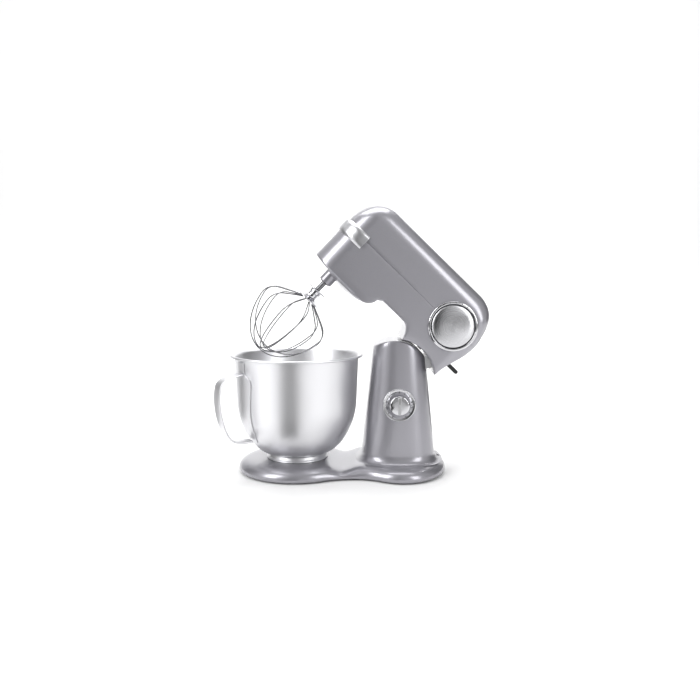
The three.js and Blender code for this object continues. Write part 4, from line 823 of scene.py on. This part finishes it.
class MIXER_OT_trim(bpy.types.Operator):
    """Make the side caps, their rings and the outlet cover"""

    bl_idname = "mixer.trim"
    bl_label = "Caps and outlet cover"

    def execute(self, context):
        sizes = context.scene.mixer_sizes
        cap = sizes.cap / MM
        face = sizes.head_half_width / MM
        for side, word in ((-1, "left"), (1, "right")):
            turn = Matrix.Rotation(-side * math.pi / 2, 4, "X")
            at = HEAD @ Matrix.Translation((CAP_X * MM, 0, CAP_Z * MM)) @ turn
            ring = [(cap - 2, face - 7), (cap + 2.5, face - 7), (cap + 2.5, face + 0.35)]
            ring += [(cap + 6.6, face + 0.35), (cap + 5.9, face + 2.6), (cap + 4, face + 3.5)]
            ring += [(cap + 2.2, face + 3.4), (cap + 0.9, face + 1), (cap + 0.9, face - 5.6)]
            ring += [(cap - 2, face - 5.6)]
            verts, faces = revolved(rounded(ring, 0.7, True), 128, True)
            ring_nodes = (f"side_ring_{word}",)
            piece(f"cap_ring_{word}", verts, faces, at, "head", "chrome_trim", ring_nodes)
            floor = [(0, face - 7.5), (cap - 2.4, face - 7.5), (cap - 2.4, face - 6.6), (0, face - 6.6)]
            piece(f"cap_floor_{word}", *revolved(rounded(floor, 0.2)), at, "head", "black_plastic")
            dome = [(0, face - 5.2), (cap - 1.2, face - 5.2), (cap - 0.1, face - 1), (cap - 0.5, face + 1.8)]
            rise = np.linspace(0.16, math.pi / 2, 12)
            dome += [(cap * math.cos(t), face + 2 + 5 * math.sin(t)) for t in rise]
            dome[-1] = (0, face + 7)
            made = piece(
                f"cap_dome_{word}", *revolved(dome, 128), at, "head", "brushed_trim", (f"side_cap_{word}",)
            )
            tint = context.scene.mixer_colours.brushed
            made.data.materials[0] = spun_metal("spun_cap", tint, tuple(at.translation), 1, 0.26)
            rib = block(cap + 2.9, cap + 5.6, -0.5, 0.5, face + 2.6, face + 3.55)
            for i in range(6, 18):
                step = Matrix.Rotation(math.radians(15 * i + 7.5), 4, "Z")
                piece(f"ring_mark_{word}_{i}", *rib, at @ step, "head", "black_plastic")
        self.cover(sizes)
        return {"FINISHED"}

    def cover(self, sizes):
        """A band of even height round the nose, with a gentle swell."""
        nose, half = sizes.head_nose / MM, sizes.head_half_width / MM
        turns = np.linspace(0, math.pi / 2, 22)
        path = [(x, half) for x in np.linspace(BAND_REAR, NOSE_X + nose, 12)[:-1]]
        path += [(NOSE_X + nose - nose * math.sin(t), half - nose + nose * math.cos(t)) for t in turns]
        path += [(NOSE_X, y) for y in np.linspace(half - nose, 0, 8)[1:]]
        path += [(x, -y) for x, y in path[-2::-1]]
        steps = [k / 6 for k in range(-6, 7)]
        section = [(0.6 + 2.9 * (1 - abs(s) ** 5), BAND_HALF_HEIGHT * s) for s in steps]
        section += [(0.4, -BAND_HALF_HEIGHT * s) for s in steps]
        rings = []
        for i, (x, y) in enumerate(path):
            way = Vector(path[min(i + 1, len(path) - 1)]) - Vector(path[max(i - 1, 0)])
            out = Vector((way.y, -way.x)).normalized()
            rings.append([(x + out.x * a, y + out.y * a, OUTLET_Z + b) for a, b in section])
        made = piece(
            "outlet_band", *lofted(rings), HEAD, "outlet_cap", "brushed_trim", ("outlet_cover",), 50
        )
        made.modifiers.new("soft", "BEVEL").width = 0.0004


class MIXER_OT_drive(bpy.types.Operator):
    """Make the planetary hub, the spindle's boss and seal, and the whisk's collar"""

    bl_idname = "mixer.drive"
    bl_label = "Planetary hub and spindle"

    def execute(self, context):
        hub = [(0, 44), (9, 44.2), (24, 47), (36, 49.6), (39.8, 52.6), (39.8, 57.8)]
        hub += [(8, 57.8), (8, 120.8), (0, 120.8)]
        verts, faces = revolved(rounded(hub, 1.6), 128)
        piece("hub_body", verts, faces, HUB, "planetary", "grey_paint", ("planetary_hub",))
        ring = [(7, 31.5), (11.9, 31.5), (11.9, 56), (7, 56)]
        verts, faces = revolved(rounded(ring, 1.4, True), 64, True)
        piece("spindle_boss", verts, faces, SPINDLE, "planetary", "grey_paint")
        seal = [(4.9, 30.2), (8.5, 30.2), (8.5, 31.3), (4.9, 31.3)]
        verts, faces = revolved(rounded(seal, 0.4, True), 64, True)
        piece("spindle_seal", verts, faces, SPINDLE, "planetary", "black_rubber")
        collar = [(4.85, -7), (4.85, 13.7), (16.8, 13.7), (17.3, 12.9), (17, 11.9), (9.6, 10.6)]
        collar += [(9.6, 5.6), (8.2, 4.6), (8.2, -1.6), (9.6, -3.2), (14, -5.8), (20.8, -8.2)]
        collar += [(20.8, -9.8), (0, -9.8), (0, -7)]
        profile = rounded(collar, 0.7)
        verts, faces = revolved(profile, 96)
        made = piece("collar_body", verts, faces, SPINDLE, "whisk", "chrome_trim", ("whisk_collar",))
        carved(made, [cutter(*block(-2, 2, -15, 15, -1.1, 3.3), SPINDLE)])
        return {"FINISHED"}


class MIXER_OT_whisk(bpy.types.Operator):
    """Make the whisk's six wire loops"""

    bl_idname = "mixer.whisk"
    bl_label = "Whisk"

    def execute(self, context):
        radius = context.scene.mixer_sizes.wire / MM
        ring = [(radius * math.cos(t), radius * math.sin(t)) for t in np.linspace(0, 2 * math.pi, 12, False)]
        for loop in range(LOOP_COUNT):
            tip = LOOP_TIP + loop * (2 * radius + LOOP_GAP)
            half = [(15, -11.2), (37, -20.9), (60, -34), (LOOP_RADIUS, LOOP_WIDEST)]
            for i in range(1, 6):
                turn = math.pi / 2 * i / 6
                drop = (tip - LOOP_WIDEST) * math.sin(turn) ** 1.1
                half.append((LOOP_RADIUS * math.cos(turn), LOOP_WIDEST + drop))
            points = half + [(0, tip)] + [(-r, z) for r, z in half[::-1]]
            path = spline([(r, 0, z) for r, z in points], 7)
            at = SPINDLE @ Matrix.Rotation(math.pi * (loop + 0.5) / LOOP_COUNT, 4, "Z")
            name = f"wire_loop_{loop + 1}"
            made = swept(path, ring, (0, 1, 0))
            piece(name, *made, at, "whisk", "wire_steel", (f"whisk_wire_{loop + 1}",), 60)
        return {"FINISHED"}


class MIXER_OT_frame_parts(bpy.types.Operator):
    """Give every remaining mechanical part its finish and soft edges"""

    bl_idname = "mixer.frame_parts"
    bl_label = "Mechanical parts"

    def execute(self, context):
        slots = {entry["node"]: entry["material_slot"] for entry in frame["record"]["subparts"]}
        for name, node in frame["nodes"].items():
            node.data.materials.clear()
            node.data.materials.append(finish_for(slots[name]))
            node.data.shade_smooth()
            node.data.set_sharp_from_angle(angle=math.radians(30))
            if not node.hide_render:
                edge = node.modifiers.new("soft", "BEVEL")
                edge.width = 0.0003
                edge.segments = 2
                edge.limit_method = "ANGLE"
                edge.angle_limit = math.radians(40)
        return {"FINISHED"}


# ---- Stage ---------------------------------------------------------------------------------
def softbox(name, place, aim, size, power):
    """A rectangular area light aimed at a point."""
    light = bpy.data.lights.new(name, "AREA")
    light.shape = "RECTANGLE"
    light.size, light.size_y = size
    light.energy = power
    lamp = bpy.data.objects.new(name, light)
    bpy.context.scene.collection.objects.link(lamp)
    lamp.location = place
    lamp.rotation_euler = (Vector(aim) - Vector(place)).to_track_quat("-Z", "Y").to_euler()


def dark_strip(name, low, high, near, far):
    """A black strip on the floor, between two directions from the bowl, only seen in reflections."""
    corners = [(near, low), (far, low), (far, high), (near, high)]
    turned = [(r, math.radians(a)) for r, a in corners]
    verts = [(BOWL_X + r * math.sin(a), -r * math.cos(a), 0.0012) for r, a in turned]
    mesh = bpy.data.meshes.new(name)
    mesh.from_pydata(verts, [], [(0, 1, 2, 3)])
    strip = bpy.data.objects.new(name, mesh)
    bpy.context.scene.collection.objects.link(strip)
    flock(strip)


def flock(card):
    """Black, staged, and out of the camera's and the shadows' way."""
    card.visible_camera = False
    card.visible_shadow = False
    card.visible_diffuse = False
    card.data.materials.append(material("flocked_board", (0.004, 0.004, 0.004, 1), 0, 1, 30, 0.1, 0))


def dark_card(name, place, width, height, turn):
    """A black board beside the camera's view that only shows in reflections."""
    w, h = width / 2, height / 2
    mesh = bpy.data.meshes.new(name)
    mesh.from_pydata([(-w, 0, -h), (w, 0, -h), (w, 0, h), (-w, 0, h)], [], [(0, 1, 2, 3)])
    card = bpy.data.objects.new(name, mesh)
    bpy.context.scene.collection.objects.link(card)
    card.location = place
    card.rotation_euler = (0, 0, math.radians(turn))
    flock(card)


class MIXER_OT_stage(bpy.types.Operator):
    """Make the floor, the lights and the camera"""

    bl_idname = "mixer.stage"
    bl_label = "Stage"

    def execute(self, context):
        scene = context.scene
        scene.view_settings.view_transform = "Standard"
        profile = [(-5, 0), (2.2, 0)]
        bend = np.linspace(0.1, math.pi / 2, 16)
        profile += [(2.2 + 1.2 * math.sin(t), 1.2 - 1.2 * math.cos(t)) for t in bend]
        profile += [(3.4, 5)]
        verts = [(x, y, z) for y, z in profile for x in (-6, 6)]
        faces = [(2 * i, 2 * i + 1, 2 * i + 3, 2 * i + 2) for i in range(len(profile) - 1)]
        floor = bpy.data.meshes.new("floor")
        floor.from_pydata(verts, [], faces)
        floor.shade_smooth()
        ground = bpy.data.objects.new("floor", floor)
        scene.collection.objects.link(ground)
        floor.materials.append(material("pale_floor", scene.mixer_colours.floor, 0, 0.6, 40, 0.01, 0.0))
        world = bpy.data.worlds.new("studio")
        scene.world = world
        world.use_nodes = True
        world.node_tree.nodes["Background"].inputs["Color"].default_value = (1, 1, 1, 1)
        world.node_tree.nodes["Background"].inputs["Strength"].default_value = 0.42
        softbox("key", (-1.5, -1.1, 1.3), (0, 0, 0.2), (0.9, 1.6), 30)
        softbox("fill", (1.3, -1.3, 0.9), (0, 0, 0.2), (0.7, 1.4), 14)
        softbox("top", (0, 0.3, 2.0), (0, 0, 0.2), (1.8, 1.2), 27)
        softbox("backdrop", (0, 1.2, 2.4), (0, 3.2, 0.9), (3.5, 0.8), 90)
        dark_card("card_front", (-0.33, -1.6, 1.0), 0.62, 3.0, 0)
        dark_strip("strip_front", -24, 7, 0.14, 1.9)
        dark_strip("strip_left", -122, -98, 0.3, 1.5)
        dark_strip("strip_rear", 128, 168, 0.32, 1.6)
        dark_card("card_right", (1.5, 0.9, 0.8), 1.4, 2.4, -60)
        dark_card("card_left", (-1.7, 0.5, 0.6), 0.9, 1.6, 75)
        data = bpy.data.cameras.new("camera")
        data.lens = CAMERA_LENS
        data.sensor_width = CAMERA_SENSOR
        camera = bpy.data.objects.new("camera", data)
        scene.collection.objects.link(camera)
        camera.location = HINGE + Vector(CAMERA_PLACE) * MM
        camera.rotation_euler = (math.pi / 2 - CAMERA_PITCH, 0, 0)
        scene.camera = camera
        return {"FINISHED"}


# ---- Panel and registration ----------------------------------------------------------------
STEPS = (
    MIXER_OT_stage,
    MIXER_OT_pedestal,
    MIXER_OT_dial,
    MIXER_OT_bowl,
    MIXER_OT_head,
    MIXER_OT_trim,
    MIXER_OT_drive,
    MIXER_OT_whisk,
    MIXER_OT_frame_parts,
)


class MIXER_PT_panel(bpy.types.Panel):
    """The steps that build the mixer, with its sizes and colours"""

    bl_idname = "MIXER_PT_panel"
    bl_label = "Stand mixer"
    bl_space_type = "VIEW_3D"
    bl_region_type = "UI"
    bl_category = "Mixer"

    def draw(self, context):
        for step in STEPS:
            self.layout.operator(step.bl_idname)
        for group in (context.scene.mixer_sizes, context.scene.mixer_colours):
            for name in group.bl_rna.properties.keys():
                if name not in ("rna_type", "name"):
                    self.layout.prop(group, name)


CLASSES = (MixerSizes, MixerColours, *STEPS, MIXER_PT_panel)


def register():
    for entry in CLASSES:
        bpy.utils.register_class(entry)
    bpy.types.Scene.mixer_sizes = bpy.props.PointerProperty(type=MixerSizes)
    bpy.types.Scene.mixer_colours = bpy.props.PointerProperty(type=MixerColours)


def unregister():
    del bpy.types.Scene.mixer_colours
    del bpy.types.Scene.mixer_sizes
    for entry in reversed(CLASSES):
        bpy.utils.unregister_class(entry)


def main():
    register()
    for step in STEPS:
        group, name = step.bl_idname.split(".")
        getattr(getattr(bpy.ops, group), name)()


if __name__ == "__main__":
    main()
